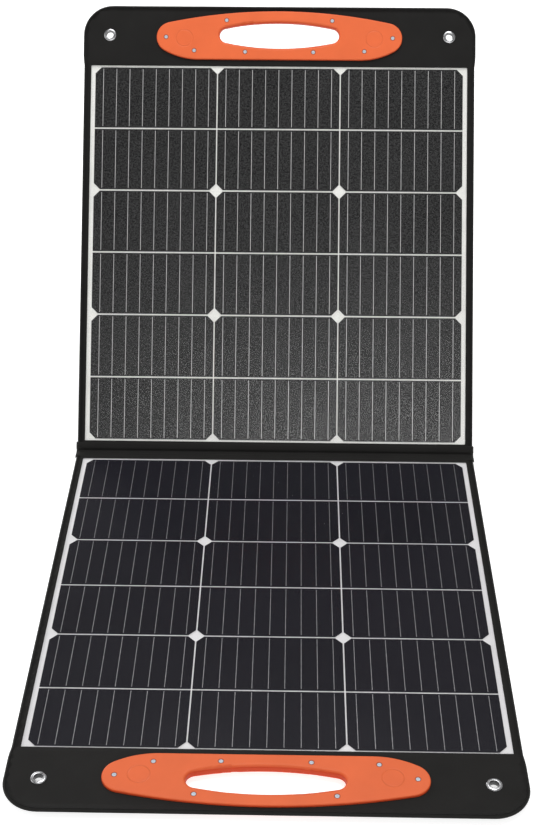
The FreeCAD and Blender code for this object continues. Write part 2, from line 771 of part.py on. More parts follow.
def build_kickstand(side):
    """A fabric-covered board with rounded hinge and foot edges, in its own hinge frame."""
    cover = new_body(f"{side}_kickstand_cover")
    centred_block(cover, "kick_width", KICK_LENGTH, "kick_thickness", "0", f"-{KICK_TOP}")
    round_bar(cover, KICK_TOP, "kick_width", ("0", "0"))
    round_bar(cover, KICK_TOP, "kick_width", (KICK_LENGTH, "0"))
    inner_width = "kick_width - 2 * kick_board_margin"
    inner_length = f"{KICK_LENGTH} - 2 * kick_board_margin"
    board_size = (inner_width, inner_length, "kick_board_thickness")
    board_place = ("kick_board_margin", "-kick_board_thickness / 2")
    centred_block(cover, *board_size, *board_place, cut=True)
    board = new_body(f"{side}_kickstand_board")
    centred_block(board, *board_size, *board_place)
    tabs = new_body(f"{side}_kickstand_strap_tabs")
    tab_width = "strap_gap + strap_width"
    for low in ("kick_width / 2", f"-kick_width / 2 - ({tab_width})"):
        place = (low, "strap_radius - strap_tab_length / 2", "-strap_thickness / 2")
        block(tabs, (tab_width, "strap_tab_length", "strap_thickness"), place)
    return [cover, board, tabs]


STRAP_SIDES = ("kick_width / 2 + strap_gap", "-kick_width / 2 - strap_gap - strap_width")


def build_kickstand_anchors(side):
    """The sewn hinge tape and the strap patches on the panel's back."""
    tape = new_body(f"{side}_kickstand_hinge_tape")
    near = f"kick_hinge_reach + {KICK_TOP} + tape_clearance"
    centred_block(tape, "kick_width", "tape_length", "tape_thickness", near, f"{BACK} - tape_thickness")
    patches = new_body(f"{side}_strap_patches")
    for low in STRAP_SIDES:
        place = (low, "kick_hinge_reach - strap_radius - strap_tab_length / 2", f"{BACK} - strap_thickness")
        block(patches, ("strap_width", "strap_tab_length", "strap_thickness"), place)


def build_folded_straps(side):
    """Webbing folded flat beside the stowed kickstand."""
    straps = new_body(f"{side}_kickstand_straps")
    near = "kick_hinge_reach - strap_radius + strap_tab_length / 2 + 1"
    for low in STRAP_SIDES:
        place = (low, near, f"{BACK} - strap_bundle_thickness - kick_gap")
        block(straps, ("strap_width", "strap_bundle_length", "strap_bundle_thickness"), place)


def build_taut_straps(side):
    """Webbing pulled straight between the panel's back and the deployed kickstand.

    Drawn in a frame on the panel's strap patch, with y running along the webbing."""
    straps = new_body(f"{side}_kickstand_straps")
    length = "2 * strap_radius * sin(kick_open_angle / 2) - 3 * strap_gap"
    for low in STRAP_SIDES:
        size = ("strap_width", length, "strap_thickness")
        block(straps, size, (low, "1.5 * strap_gap", "-strap_thickness / 2"))
    return straps


# ---------------------------------------------------------------- cable pouch and junction box

POUCH_OUTER = f"({BACK} - pouch_depth)"
ZIP_REACH = "(pouch_start + pouch_length - zip_inset)"
ZIP_LEVEL = f"({POUCH_OUTER} + pouch_wall / 2)"


def build_pouch():
    pouch = new_body("cable_pouch")
    centred_block(pouch, "pouch_width", "pouch_length", "pouch_depth", "pouch_start", POUCH_OUTER)
    centred_block(
        pouch, "pouch_width - 2 * pouch_wall", "pouch_length - 2 * pouch_wall", "pouch_depth - pouch_wall",
        "pouch_start + pouch_wall", f"{POUCH_OUTER} + pouch_wall", cut=True,
    )
    centred_block(
        pouch, "zip_length", "zip_slot", "pouch_wall", f"{ZIP_REACH} - zip_slot / 2", POUCH_OUTER, cut=True
    )
    tapes = new_body("pouch_zip_tapes")
    tape = "(zip_slot - zip_coil_width) / 2"
    for near in (f"{ZIP_REACH} - zip_slot / 2", f"{ZIP_REACH} + zip_coil_width / 2"):
        centred_block(tapes, "zip_length", tape, "pouch_wall / 2", near, f"{ZIP_LEVEL}")
    coil = new_body("pouch_zip_coil")
    near = f"{ZIP_REACH} - zip_coil_width / 2"
    coil_size = ("zip_length", "zip_coil_width", "zip_coil_height")
    centred_block(coil, *coil_size, near, f"{ZIP_LEVEL} - zip_coil_height / 2")


SLIDER_HALF = "(zip_coil_height / 2 + slider_clearance + slider_skin)"
BRIDGE_HEIGHT = f"({SLIDER_HALF} + pull_eye_radius + slider_skin + slider_clearance)"


def build_zip_slider():
    """The slider rides on the zip's coil; its bridge holds the pull. Drawn about the coil's centre."""
    slider = new_body("pouch_zip_slider")
    size = ("slider_length", "slider_width", "slider_skin")
    low = ("-slider_length / 2", "-slider_width / 2")
    block(slider, size, (*low, f"-{SLIDER_HALF}"))
    post_height = f"{BRIDGE_HEIGHT} + slider_bridge_radius - {SLIDER_HALF} + slider_skin"
    for start in ("-slider_length / 2", "slider_length / 2 - slider_skin"):
        low_end = (start, "-slider_skin", f"-({BRIDGE_HEIGHT} + slider_bridge_radius)")
        block(slider, ("slider_skin", "2 * slider_skin", post_height), low_end)
    round_bar(slider, "slider_bridge_radius", "slider_length", ("0", f"-{BRIDGE_HEIGHT}"))
    pull = new_body("pouch_zip_pull")
    round_bar(pull, "pull_eye_radius + slider_skin", "pull_width", ("0", "0"))
    centred_block(pull, "pull_width", "pull_length", "pull_thickness", "0", "-pull_thickness / 2")
    round_bar(pull, "pull_eye_radius", "pull_width", ("0", "0"), cut=True)
    return slider, pull


BOX_OUTER = f"({BACK} - box_height)"


def build_junction_box():
    box = new_body("junction_box")
    low = ("-box_side - box_width / 2", "box_reach - box_length / 2")
    block(box, ("box_width", "box_length", "box_height"), (*low, BOX_OUTER))
    inner = ("-box_side - box_width / 2 + box_wall", "box_reach - box_length / 2 + box_wall", BOX_OUTER)
    hollow = ("box_width - 2 * box_wall", "box_length - 2 * box_wall", "box_height - box_wall")
    block(box, hollow, inner, cut=True)
    gland_place = ("box_reach", f"{BACK} - box_height / 2")
    gland_start = "-box_side + box_width / 2 - box_wall"
    round_bar(box, "gland_bore + box_wall / 2", "box_wall", gland_place, cut=True, start=gland_start)
    lid = new_body("junction_box_lid")
    block(lid, ("box_width", "box_length", "box_lid"), (*low, f"{BOX_OUTER} - box_lid"))
    gland = new_body("cable_gland")
    round_bar(gland, "gland_bore + box_wall / 2", "box_wall", gland_place, start=gland_start)
    round_bar(gland, "gland_radius", "gland_length", gland_place, start="-box_side + box_width / 2")
    round_bar(gland, "gland_bore", "gland_length + box_wall", gland_place, cut=True, start=gland_start)
    diodes = new_body("bypass_diodes")
    for number in (-1, 0, 1):
        place = (f"box_reach + {number} * diode_pitch", f"{BACK} - box_wall - diode_radius")
        round_bar(diodes, "diode_radius", "diode_length", place, start="-box_side - diode_length")
    clips = new_body("terminal_clips")
    clip_size = ("diode_length", "2 * diode_radius", "diode_radius / 2")
    for number in (-1, 0, 1):
        reach = f"box_reach + {number} * diode_pitch - diode_radius"
        for shift in ("-box_side - 2 * diode_length", "-box_side"):
            block(clips, clip_size, (shift, reach, f"{BACK} - box_wall - diode_radius"))


# ---------------------------------------------------------------- placing


def place(items, axis, angle, x, y, z):
    """Puts sub-parts into the row frame, turned about an axis by a formula in degrees."""
    for item in items:
        item.Placement = Placement(Vector(), Rotation(axis, 90))
        bind(item, "Placement.Rotation.Angle", angle)
        bind(item, "Placement.Base.x", x)
        bind(item, "Placement.Base.y", y)
        bind(item, "Placement.Base.z", z)


def leaning(reach, level):
    """Row-frame y and z formulas of a point of the leaning panel's frame."""
    y = f"{FOLD_Y} + ({reach}) * cos(lean_angle) - ({level}) * sin(lean_angle)"
    z = f"{FOLD_HEIGHT} + ({reach}) * sin(lean_angle) + ({level}) * cos(lean_angle)"
    return y, z


def build_panel(side):
    """Every piece that stays fixed in one panel's frame."""
    build_laminate(side)
    build_front_cover(side)
    build_back_cover(side)
    build_edge_piping(side)
    build_flap_stiffener(side)
    build_fold(side)
    build_handle(side)
    build_handle_hardware(side)
    build_grommets(side)
    build_kickstand_anchors(side)


ACROSS = Vector(1, 0, 0)
UPRIGHT = Vector(0, 0, 1)

first = len(subparts)
build_panel("lower")
build_folded_straps("lower")
place(subparts[first:], UPRIGHT, "180", "0", FOLD_Y, FOLD_HEIGHT)

lower_kickstand = build_kickstand("lower")
place(lower_kickstand, ACROSS, "0", "0", f"{FOLD_Y} - kick_hinge_reach", f"{FOLD_HEIGHT} - {KICK_DEPTH}")

first = len(subparts)
build_panel("upper")
build_pouch()
build_junction_box()
place(subparts[first:], ACROSS, "lean_angle", "0", FOLD_Y, FOLD_HEIGHT)

upper_kickstand = build_kickstand("upper")
upper_hinge = leaning("kick_hinge_reach", f"-{KICK_DEPTH}")
place(upper_kickstand, ACROSS, "lean_angle + kick_open_angle - 180", "0", *upper_hinge)

taut_straps = build_taut_straps("upper")
strap_anchor = leaning("kick_hinge_reach - strap_radius", f"{BACK} - strap_thickness - strap_gap / 2")
place([taut_straps], ACROSS, "lean_angle + kick_open_angle / 2 - 90", "0", *strap_anchor)

slider, pull = build_zip_slider()
place([slider], ACROSS, "lean_angle", "-zip_travel_start", *leaning(ZIP_REACH, ZIP_LEVEL))
pull_pivot = leaning(ZIP_REACH, f"{ZIP_LEVEL} - {BRIDGE_HEIGHT}")
place([pull], ACROSS, "-90", "-zip_travel_start", *pull_pivot)

# ---------------------------------------------------------------- checking and writing

doc.recompute()
for item in doc.Objects:
    if {"Invalid", "Error"} & set(item.State):
        raise RuntimeError(f"{item.Label} is {item.State}")
for item in subparts:
    if item.Shape.isNull() or not item.Shape.isValid() or not item.Shape.Solids:
        raise RuntimeError(f"{item.Label} has no valid solid")

os.makedirs("parts", exist_ok=True)
for item in subparts:
    item.Shape.exportStep(os.path.join("parts", item.Label + ".step"))
print(len(subparts), "sub-parts written")
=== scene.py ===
"""Looks of a two-panel folding solar suitcase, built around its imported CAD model.

Every panel piece is drawn in its panel's own frame, in millimetres: x runs along the fold, v runs
away from the fold towards the carry handle, and w is the normal of the light-catching front.
"""

import json
import math
from math import cos, pi, sin

import bpy
import numpy as np
from mathutils import Euler, Matrix, Vector, noise
from mathutils.geometry import delaunay_2d_cdt


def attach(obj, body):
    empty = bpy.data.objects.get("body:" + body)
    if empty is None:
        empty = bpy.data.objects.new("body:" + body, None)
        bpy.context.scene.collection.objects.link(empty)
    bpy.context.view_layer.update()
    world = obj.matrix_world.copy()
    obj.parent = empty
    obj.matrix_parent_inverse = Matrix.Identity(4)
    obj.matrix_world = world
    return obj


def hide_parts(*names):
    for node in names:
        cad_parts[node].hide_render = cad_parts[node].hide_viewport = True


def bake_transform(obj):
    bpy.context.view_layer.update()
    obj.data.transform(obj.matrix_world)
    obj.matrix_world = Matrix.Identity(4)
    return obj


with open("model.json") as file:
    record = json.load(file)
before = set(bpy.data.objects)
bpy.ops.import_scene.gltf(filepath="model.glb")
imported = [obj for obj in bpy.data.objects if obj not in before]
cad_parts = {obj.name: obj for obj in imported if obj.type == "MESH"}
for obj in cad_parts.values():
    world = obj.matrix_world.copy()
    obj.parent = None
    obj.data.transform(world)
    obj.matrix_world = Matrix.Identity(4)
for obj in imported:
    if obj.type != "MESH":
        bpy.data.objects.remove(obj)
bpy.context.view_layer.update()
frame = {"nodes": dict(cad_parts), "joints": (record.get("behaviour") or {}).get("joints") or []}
scene = bpy.context.scene
MM = 0.001
SIDES = ("lower", "upper")


def joint(name):
    return next(j for j in frame["joints"] if j["name"] == name)


# ---- frames

FOLD = Vector(joint("panel_fold")["pos_m"])
LEAN = math.radians(-joint("panel_fold")["range_deg"][0])
KICK_OPEN = math.radians(-joint("upper_kickstand_hinge")["range_deg"][0])
TURN = {"lower": Euler((0, 0, pi)), "upper": Euler((LEAN, 0, 0))}
PANEL = {side: Matrix.LocRotScale(FOLD, TURN[side], Vector((MM, MM, MM))) for side in SIDES}
KICK_REACH = 345
KICK_LEVEL = -11.45
KICK_CENTRE = (KICK_REACH, KICK_LEVEL)
KICK_TURN = {"lower": pi, "upper": pi + KICK_OPEN}
KICK = {
    side: PANEL[side]
    @ Matrix.Translation((0, *KICK_CENTRE))
    @ Matrix.Rotation(KICK_TURN[side], 4, "X")
    for side in SIDES
}

# ---- sizes in millimetres

FRONT = -3.2
BACK = -8.2
FILM = -4.22
HALF_WIDTH = 267.0
REACH = 609.0
COVER_START = 3.6
CORNER = 40.0
WINDOW_SIDE = 256.5
WINDOW_NEAR = 13.0
WINDOW_FAR = 526.0
FLAP_SEAM = 534.0
EDGE_ROUND = 2.5
EDGE_SEAM = 4.6
FLAP_STITCHES = FLAP_SEAM - 4.5
KICK_SEAM = 7.5
STITCH_PITCH = 4.0
THREAD_SINK = 0.05
CLEAR_OF_EDGE = 99.0
MAGNET_RING = 11.4
HOLE_CENTRE = 568.4
GROMMETS = [(-231.5, 568.0), (231.5, 568.0)]
MAGNET = (129.5, 563.5)
SCREWS = [(46.5, 545.0), (116.0, 546.5), (154.5, 565.0), (72.0, 588.5)]


# ---- mesh helpers


def make_piece(name, points, faces, matrix, material):
    """A mesh object from points in a local frame, with its vertices in the row frame."""
    mesh = bpy.data.meshes.new(name)
    mesh.from_pydata([matrix @ Vector(p) for p in points], [], faces)
    mesh.validate()
    mesh.update()
    mesh.shade_smooth()
    piece = bpy.data.objects.new(name, mesh)
    scene.collection.objects.link(piece)
    mesh.materials.append(material)
    return piece


def grid_faces(rows, columns, start=0, closed=False):
    """Quads over rows of equal length; closed joins each row's last point to its first."""
    faces = []
    for r in range(rows - 1):
        for c in range(columns if closed else columns - 1):
            a = start + r * columns + c
            b = start + r * columns + (c + 1) % columns
            faces.append((a, b, b + columns, a + columns))
    return faces


def weld(piece):
    """Joins a shell's patches where their rims meet."""
    piece.modifiers.new("weld", "WELD").merge_threshold = 0.00002


def thicken(piece, thickness, offset):
    """Thickens a sheet, in metres: behind its faces (-1), both ways (0) or in front (1)."""
    skin = piece.modifiers.new("thickness", "SOLIDIFY")
    skin.thickness = thickness
    skin.offset = offset


def rectangle(half_width, low, high):
    """Corners of a rectangle centred on x = 0."""
    return [(-half_width, low), (half_width, low), (half_width, high), (-half_width, high)]


def on_circle(centre, radius, turn):
    return centre[0] + radius * cos(turn), centre[1] + radius * sin(turn)


def circle(centre, radius, steps=28):
    turn = 2 * pi / steps
    return [on_circle(centre, radius, i * turn) for i in range(steps)]


def arc_points(centre, radius, start, end, steps):
    return [on_circle(centre, radius, start + (end - start) * i / steps) for i in range(steps + 1)]


def spaced(points, pitch):
    """The same closed line with its long stretches divided to about the pitch."""
    out = []
    for here, there in zip(points, points[1:] + points[:1]):
        a, b = Vector(here), Vector(there)
        steps = max(1, round((b - a).length / pitch))
        out.extend(tuple(a.lerp(b, i / steps)) for i in range(steps))
    return out


def rounded_box_line(half_width, near, far, near_round, far_round, pitch):
    """Closed anticlockwise outline of a panel, with one radius at each end."""
    quarter = pi / 2
    w = half_width
    corners = (
        arc_points((w - near_round, near + near_round), near_round, -quarter, 0, 4)
        + arc_points((w - far_round, far - far_round), far_round, 0, quarter, 14)
        + arc_points((far_round - w, far - far_round), far_round, quarter, 2 * quarter, 14)
        + arc_points((near_round - w, near + near_round), near_round, 2 * quarter, 3 * quarter, 4)
    )
    return spaced(corners, pitch)


def outward(line):
    """Outward unit normals of a closed anticlockwise line."""
    normals = []
    for before, after in zip(line[-1:] + line[:-1], line[1:] + line[:1]):
        run = Vector(after) - Vector(before)
        normals.append(Vector((run.y, -run.x)).normalized())
    return normals


def offset(line, distance):
    return [tuple(Vector(p) + n * distance) for p, n in zip(line, outward(line))]


def inside(points, line):
    """Which of many points lie inside a closed line."""
    p = np.asarray(points, float).reshape(-1, 1, 2)
    a = np.asarray(line, float)
    b = np.roll(a, -1, axis=0)
    spans = (a[:, 1] > p[..., 1]) != (b[:, 1] > p[..., 1])
    rise = np.where(b[:, 1] == a[:, 1], 1e-12, b[:, 1] - a[:, 1])
    crossing = (b[:, 0] - a[:, 0]) * (p[..., 1] - a[:, 1]) / rise + a[:, 0]
    return (spans & (p[..., 0] < crossing)).sum(axis=1) % 2 == 1


def distances(points, line):
    """Distance from each of many points to a closed line."""
    p = np.asarray(points, float).reshape(-1, 1, 2)
    a = np.asarray(line, float)
    run = np.roll(a, -1, axis=0) - a
    share = ((p - a) * run).sum(axis=2) / np.maximum((run * run).sum(axis=1), 1e-9)
    nearest = a + np.clip(share, 0, 1)[..., None] * run
    return np.linalg.norm(p - nearest, axis=2).min(axis=1)


def fill(outer, holes, pitch, clear):
    """Triangles between an outer line and holes, over a grid of the given pitch."""
    loops = [outer, *holes]
    coords = [p for line in loops for p in line]
    edges = []
    start = 0
    for line in loops:
        edges += [(start + i, start + (i + 1) % len(line)) for i in range(len(line))]
        start += len(line)
    low, high = np.min(outer, axis=0), np.max(outer, axis=0)
    across, along = np.ceil((high - low) / pitch).astype(int)
    grid = [
        (low[0] + i * pitch + (j % 2) * pitch / 2, low[1] + j * pitch)
        for i in range(1, across)
        for j in range(1, along)
    ]
    keep = inside(grid, outer) & (distances(grid, outer) >= clear)
    for hole in holes:
        keep &= ~inside(grid, hole) & (distances(grid, hole) >= clear)
    coords += [p for p, kept in zip(grid, keep) if kept]
    points, _, faces, *_ = delaunay_2d_cdt([Vector(p) for p in coords], edges, [], 0, 1e-5)
    flat = np.array([tuple(p) for p in points])
    middles = flat[np.array(faces)].mean(axis=1)
    kept = inside(middles, outer)
    for hole in holes:
        kept &= ~inside(middles, hole)
    return [tuple(p) for p in flat], [tuple(f) for f, k in zip(faces, kept) if k]


def add_plane(points, faces, plane, outline, height, sign):
    """Adds a filled plane raised to its height, facing up (1) or down (-1)."""
    flat, triangles = plane
    start = len(points)
    points += [(x, v, height(x, v, edge)) for (x, v), edge in zip(flat, distances(flat, outline))]
    order = (0, 1, 2) if sign > 0 else (0, 2, 1)
    faces += [tuple(start + t[k] for k in order) for t in triangles]


def hump(x, centre, width):
    return math.exp(-(((x - centre) / width) ** 2))


def soft_noise(x, y, size, seed):
    return noise.noise(Vector((x / size, y / size, seed)))


# ---- materials


class Look:
    """A principled material and short ways to add nodes to it."""

    def __init__(self, name, colour, roughness, metallic=0.0, sheen=0.0, specular=0.5):
        self.material = bpy.data.materials.new(name)
        self.material.use_nodes = True
        self.tree = self.material.node_tree
        self.shader = self.tree.nodes["Principled BSDF"]
        plain = {
            "Base Color": (*colour, 1),
            "Roughness": roughness,
            "Metallic": metallic,
            "Specular IOR Level": specular,
            "Sheen Weight": sheen,
        }
        for socket, value in plain.items():
            self.shader.inputs[socket].default_value = value

    def node(self, kind, inputs=(), **settings):
        made = self.tree.nodes.new(kind)
        for key, value in settings.items():
            setattr(made, key, value)
        for key, value in dict(inputs).items():
            self.feed(made.inputs[key], value)
        return made

    def feed(self, socket, value):
        """Links another node's output to a socket, or sets a plain value on it."""
        if isinstance(value, bpy.types.NodeSocket):
            self.tree.links.new(value, socket)
        else:
            socket.default_value = value

    def place(self, matrix):
        """Object coordinates turned into a local frame in millimetres."""
        spot, turn, size = matrix.decompose()
        source = self.node("ShaderNodeTexCoord").outputs["Object"]
        inputs = {"Vector": source, "Location": spot, "Rotation": turn.to_euler(), "Scale": size}
        return self.node("ShaderNodeMapping", inputs, vector_type="TEXTURE").outputs["Vector"]

    def flat_map(self):
        """The piece's own cloth coordinates in millimetres, kept when it bends."""
        source = self.node("ShaderNodeUVMap", uv_map="UVMap").outputs["UV"]
        made = self.node("ShaderNodeVectorMath", {0: source, "Scale": 1000}, operation="SCALE")
        return made.outputs["Vector"]

    def noise(self, vector, size, detail=3.0, roughness=0.55):
        """Cloudy noise whose features are about the given size in millimetres."""
        inputs = {"Vector": vector, "Scale": 1 / size, "Detail": detail, "Roughness": roughness}
        return self.node("ShaderNodeTexNoise", inputs).outputs["Fac"]

    def math(self, operation, a, b=0.0, clamp=False):
        made = self.node("ShaderNodeMath", {0: a, 1: b}, operation=operation, use_clamp=clamp)
        return made.outputs[0]

    def span(self, value, low=0.3, high=0.7, to_low=0.0, to_high=1.0):
        inputs = {"Value": value, "From Min": low, "From Max": high, "To Min": to_low, "To Max": to_high}
        return self.node("ShaderNodeMapRange", inputs).outputs["Result"]

    def mix(self, factor, a, b, blend="MIX"):
        made = self.node("ShaderNodeMix", data_type="RGBA", blend_type=blend)
        sockets = [s for s in made.inputs if s.enabled]
        for socket, value in zip(sockets, (factor, a, b)):
            self.feed(socket, (*value, 1) if isinstance(value, tuple) else value)
        return next(s for s in made.outputs if s.enabled)

    def bump(self, height, distance, strength=1.0, normal=None):
        inputs = {"Height": height, "Distance": distance * MM, "Strength": strength}
        if normal is not None:
            inputs["Normal"] = normal
        return self.node("ShaderNodeBump", inputs).outputs["Normal"]

    def bands(self, vector, pitch, way):
        """Soft bands along one axis, at a pitch in millimetres."""
        inputs = {"Vector": vector, "Scale": pi / 10 / pitch}
        made = self.node("ShaderNodeTexWave", inputs, bands_direction=way, wave_profile="SIN")
        return made.outputs["Fac"]

    def weave(self, vector, pitch):
        """Plain weave: warp and weft bands that take turns on top."""
        warp = self.bands(vector, pitch, "X")
        weft = self.bands(vector, pitch, "Y")
        turns = self.node("ShaderNodeTexChecker", {"Vector": vector, "Scale": 1 / pitch})
        return self.mix(turns.outputs["Fac"], warp, weft)

    def away(self, spot, places):
        """Distance in the panel's plane to the nearest of some places and their mirror images."""
        folded = self.node("ShaderNodeVectorMath", {0: spot}, operation="ABSOLUTE").outputs["Vector"]
        made = self.node("ShaderNodeVectorMath", {0: folded, 1: (1, 1, 0)}, operation="MULTIPLY")
        flat = made.outputs["Vector"]
        nearest = None
        for x, v in places:
            ends = {0: flat, 1: (abs(x), v, 0)}
            gap = self.node("ShaderNodeVectorMath", ends, operation="DISTANCE").outputs["Value"]
            nearest = gap if nearest is None else self.math("MINIMUM", nearest, gap)
        return nearest

    def set(self, socket, value):
        self.tree.links.new(value, self.shader.inputs[socket])


def scaled(colour, factor):
    return tuple(c * factor for c in colour)


def cloth_look(name, colour, matrix=None, pitch=0.9, roughness=0.78, bump=0.35):
    """Woven cloth with a soft dusty variation and threads that stand up."""
    look = Look(name, colour, roughness, sheen=0.02, specular=0.16)
    look.shader.inputs["Sheen Roughness"].default_value = 0.45
    spot = look.flat_map() if matrix is None else look.place(matrix)
    threads = look.weave(spot, pitch)
    clouds = look.noise(spot, 38, detail=4)
    fibre = look.noise(spot, 1.3, detail=2)
    tone = look.mix(look.span(clouds), scaled(colour, 0.82), scaled(colour, 1.2))
    tone = look.mix(look.span(fibre, 0.35, 0.75, 0, 0.35), tone, scaled(colour, 1.7))
    tone = look.mix(look.math("MULTIPLY", threads, 0.35), tone, scaled(colour, 1.45))
    look.set("Base Color", tone)
    look.set("Roughness", look.span(fibre, 0.2, 0.8, roughness - 0.08, roughness + 0.1))
    creases = look.bump(look.noise(spot, 16, detail=3), 0.5, 0.35)
    look.set("Normal", look.bump(threads, 0.18, bump, creases))
    return look.material


def moulded_look(name, colour, matrix, roughness=0.42, grain=0.5):
    """Moulded plastic: a fine spark texture, slight tone drift and small rub marks."""
    look = Look(name, colour, roughness)
    spot = look.place(matrix)
    spark = look.noise(spot, grain, detail=2)
    drift = look.noise(spot, 60, detail=2)
    marks = look.noise(spot, 9, detail=6, roughness=0.7)
    tone = look.mix(look.span(drift), scaled(colour, 0.94), scaled(colour, 1.06))
    tone = look.mix(look.span(marks, 0.62, 0.8, 0, 0.12), tone, scaled(colour, 0.7))
    look.set("Base Color", tone)
    look.set("Roughness", look.span(marks, 0.3, 0.75, roughness - 0.07, roughness + 0.1))
    look.set("Normal", look.bump(spark, 0.05, 0.35))
    return look.material


def metal_look(name, colour, matrix, roughness=0.28, grain=0.4):
    """Plated metal with faint scratches and dull patches."""
    look = Look(name, colour, roughness, metallic=1.0)
    spot = look.place(matrix)
    dull = look.noise(spot, 5, detail=5)
    fine = look.noise(spot, grain, detail=3)
    look.set("Base Color", look.mix(look.span(dull, 0.35, 0.7), colour, scaled(colour, 0.78)))
    look.set("Roughness", look.span(dull, 0.3, 0.75, roughness - 0.08, roughness + 0.16))
    look.set("Normal", look.bump(fine, 0.04, 0.3))
    return look.material


def paint(node, material):
    mesh = frame["nodes"][node].data
    mesh.materials.clear()
    mesh.materials.append(material)
    for polygon in mesh.polygons:
        polygon.material_index = 0


# ---- camera, light and floor

CAMERA_PLACE = (0.0204, -1.4278, 1.1267)
CAMERA_PITCH = math.radians(55.87)
CAMERA_YAW = math.radians(1.15)
FOCAL_PIXELS = 1415.2
IMAGE_HEIGHT = 826


def build_world():
    """A studio whose walls are brighter than its ceiling."""
    world = bpy.data.worlds.new("studio")
    world.use_nodes = True
    tree = world.node_tree
    source = tree.nodes.new("ShaderNodeTexCoord")
    split = tree.nodes.new("ShaderNodeSeparateXYZ")
    ramp = tree.nodes.new("ShaderNodeMapRange")
    for socket, value in (("From Min", 0.45), ("From Max", 0.85), ("To Min", 0.58), ("To Max", 0.18)):
        ramp.inputs[socket].default_value = value
    tree.links.new(source.outputs["Generated"], split.inputs["Vector"])
    tree.links.new(split.outputs["Z"], ramp.inputs["Value"])
    background = tree.nodes["Background"]
    background.inputs["Color"].default_value = (1, 1, 1, 1)
    tree.links.new(ramp.outputs["Result"], background.inputs["Strength"])
    scene.world = world


def build_stage():
    camera_data = bpy.data.cameras.new("camera")
    camera_data.sensor_width = 36
    camera_data.lens = FOCAL_PIXELS * camera_data.sensor_width / IMAGE_HEIGHT
    camera = bpy.data.objects.new("camera", camera_data)
    camera.location = CAMERA_PLACE
    camera.rotation_euler = (CAMERA_PITCH, 0, CAMERA_YAW)
    scene.collection.objects.link(camera)
    scene.camera = camera
    scene.view_settings.view_transform = "Standard"

    build_world()
    for name, place, size, power in (
        ("front_light", (0.2, -2.25, 1.35), 1.4, 17),
        ("top_light", (0.1, 0.5, 2.7), 1.6, 49),
        ("left_light", (-2.2, -0.4, 1.2), 1.2, 7),
        ("back_light", (-1.5, 2.0, 0.9), 1.0, 16),
    ):
        light = bpy.data.lights.new(name, "AREA")
        light.size = size
        light.energy = power
        lamp = bpy.data.objects.new(name, light)
        lamp.location = place
        aim = Vector((0, 0.1, 0.15)) - Vector(place)
        lamp.rotation_euler = aim.to_track_quat("-Z", "Y").to_euler()
        scene.collection.objects.link(lamp)

    floor_look = Look("floor", (0.7, 0.7, 0.7), 0.85)
    spot = floor_look.place(Matrix.Scale(MM, 4))
    paper = floor_look.noise(spot, 400, detail=2)
    floor_look.set("Base Color", floor_look.mix(paper, (0.68, 0.68, 0.68), (0.72, 0.72, 0.72)))
    floor_look.shader.inputs["Emission Color"].default_value = (1, 1, 1, 1)
    floor_look.shader.inputs["Emission Strength"].default_value = 0.7
    half = 4000
    corners = [(x, y, 0) for x, y in rectangle(half, -half, half)]
    floor = make_piece("floor", corners, [(0, 1, 2, 3)], Matrix.Scale(MM, 4), floor_look.material)


# ---- fabric cover


def half_width_at(v):
    """The panel is a little wider where the handle flap is sewn on."""
    step = 1 / (1 + math.exp(-(v - FLAP_SEAM + 1) / 1.2))
    return HALF_WIDTH - 0.6 + 1.4 * step


def panel_outline(pitch):
    line = rounded_box_line(HALF_WIDTH, COVER_START, REACH, 2.5, CORNER, pitch)
    return [(x * half_width_at(v) / HALF_WIDTH, v) for x, v in line]


def front_height(x, v, edge):
    """Front of the cloth: crowned borders, sewn seams and an uneven flap."""
    w = FRONT + 0.12 * soft_noise(x, v, 26, 3.1) + 0.05 * soft_noise(x, v, 7, 9.4)
    w -= 0.38 * hump(edge, EDGE_SEAM, 0.9)
    if v > WINDOW_FAR:
        w += 0.3 * soft_noise(x, v, 70, 5.7)
        w -= 0.5 * hump(v, FLAP_STITCHES, 1.2)
        for gx, gv in GROMMETS:
            away = math.hypot(x - gx, v - gv)
            angle = math.atan2(v - gv, x - gx)
            w -= (0.45 + 0.12 * cos(7 * angle)) * math.exp(-((away - 8) / 8) ** 2)
    return w


def back_height(x, v, edge):
    w = BACK - 0.25 * soft_noise(x, v, 60, 1.3) - 0.05 * soft_noise(x, v, 9, 2.6)
    w += 0.38 * hump(edge, EDGE_SEAM, 0.9)
    w += 0.5 * hump(v, FLAP_STITCHES, 1.2)
    return w


def hand_opening(steps=12):
    """The lens-shaped opening in the cloth, hidden under the handle's collar."""
    long_radius, end_radius, half_height = 360.0, 15.4, 22.8
    rise = long_radius - half_height
    end_x = math.sqrt((long_radius - end_radius) ** 2 - rise**2)
    turn = math.atan2(rise, end_x)
    top = arc_points((0, HOLE_CENTRE - rise), long_radius, turn, pi - turn, steps)
    left = arc_points((-end_x, HOLE_CENTRE), end_radius, pi - turn, pi + turn, steps)
    low = arc_points((0, HOLE_CENTRE + rise), long_radius, pi + turn, 2 * pi - turn, steps)
    right = arc_points((end_x, HOLE_CENTRE), end_radius, -turn, turn, steps)
    return top[:-1] + left[:-1] + low[:-1] + right[:-1]


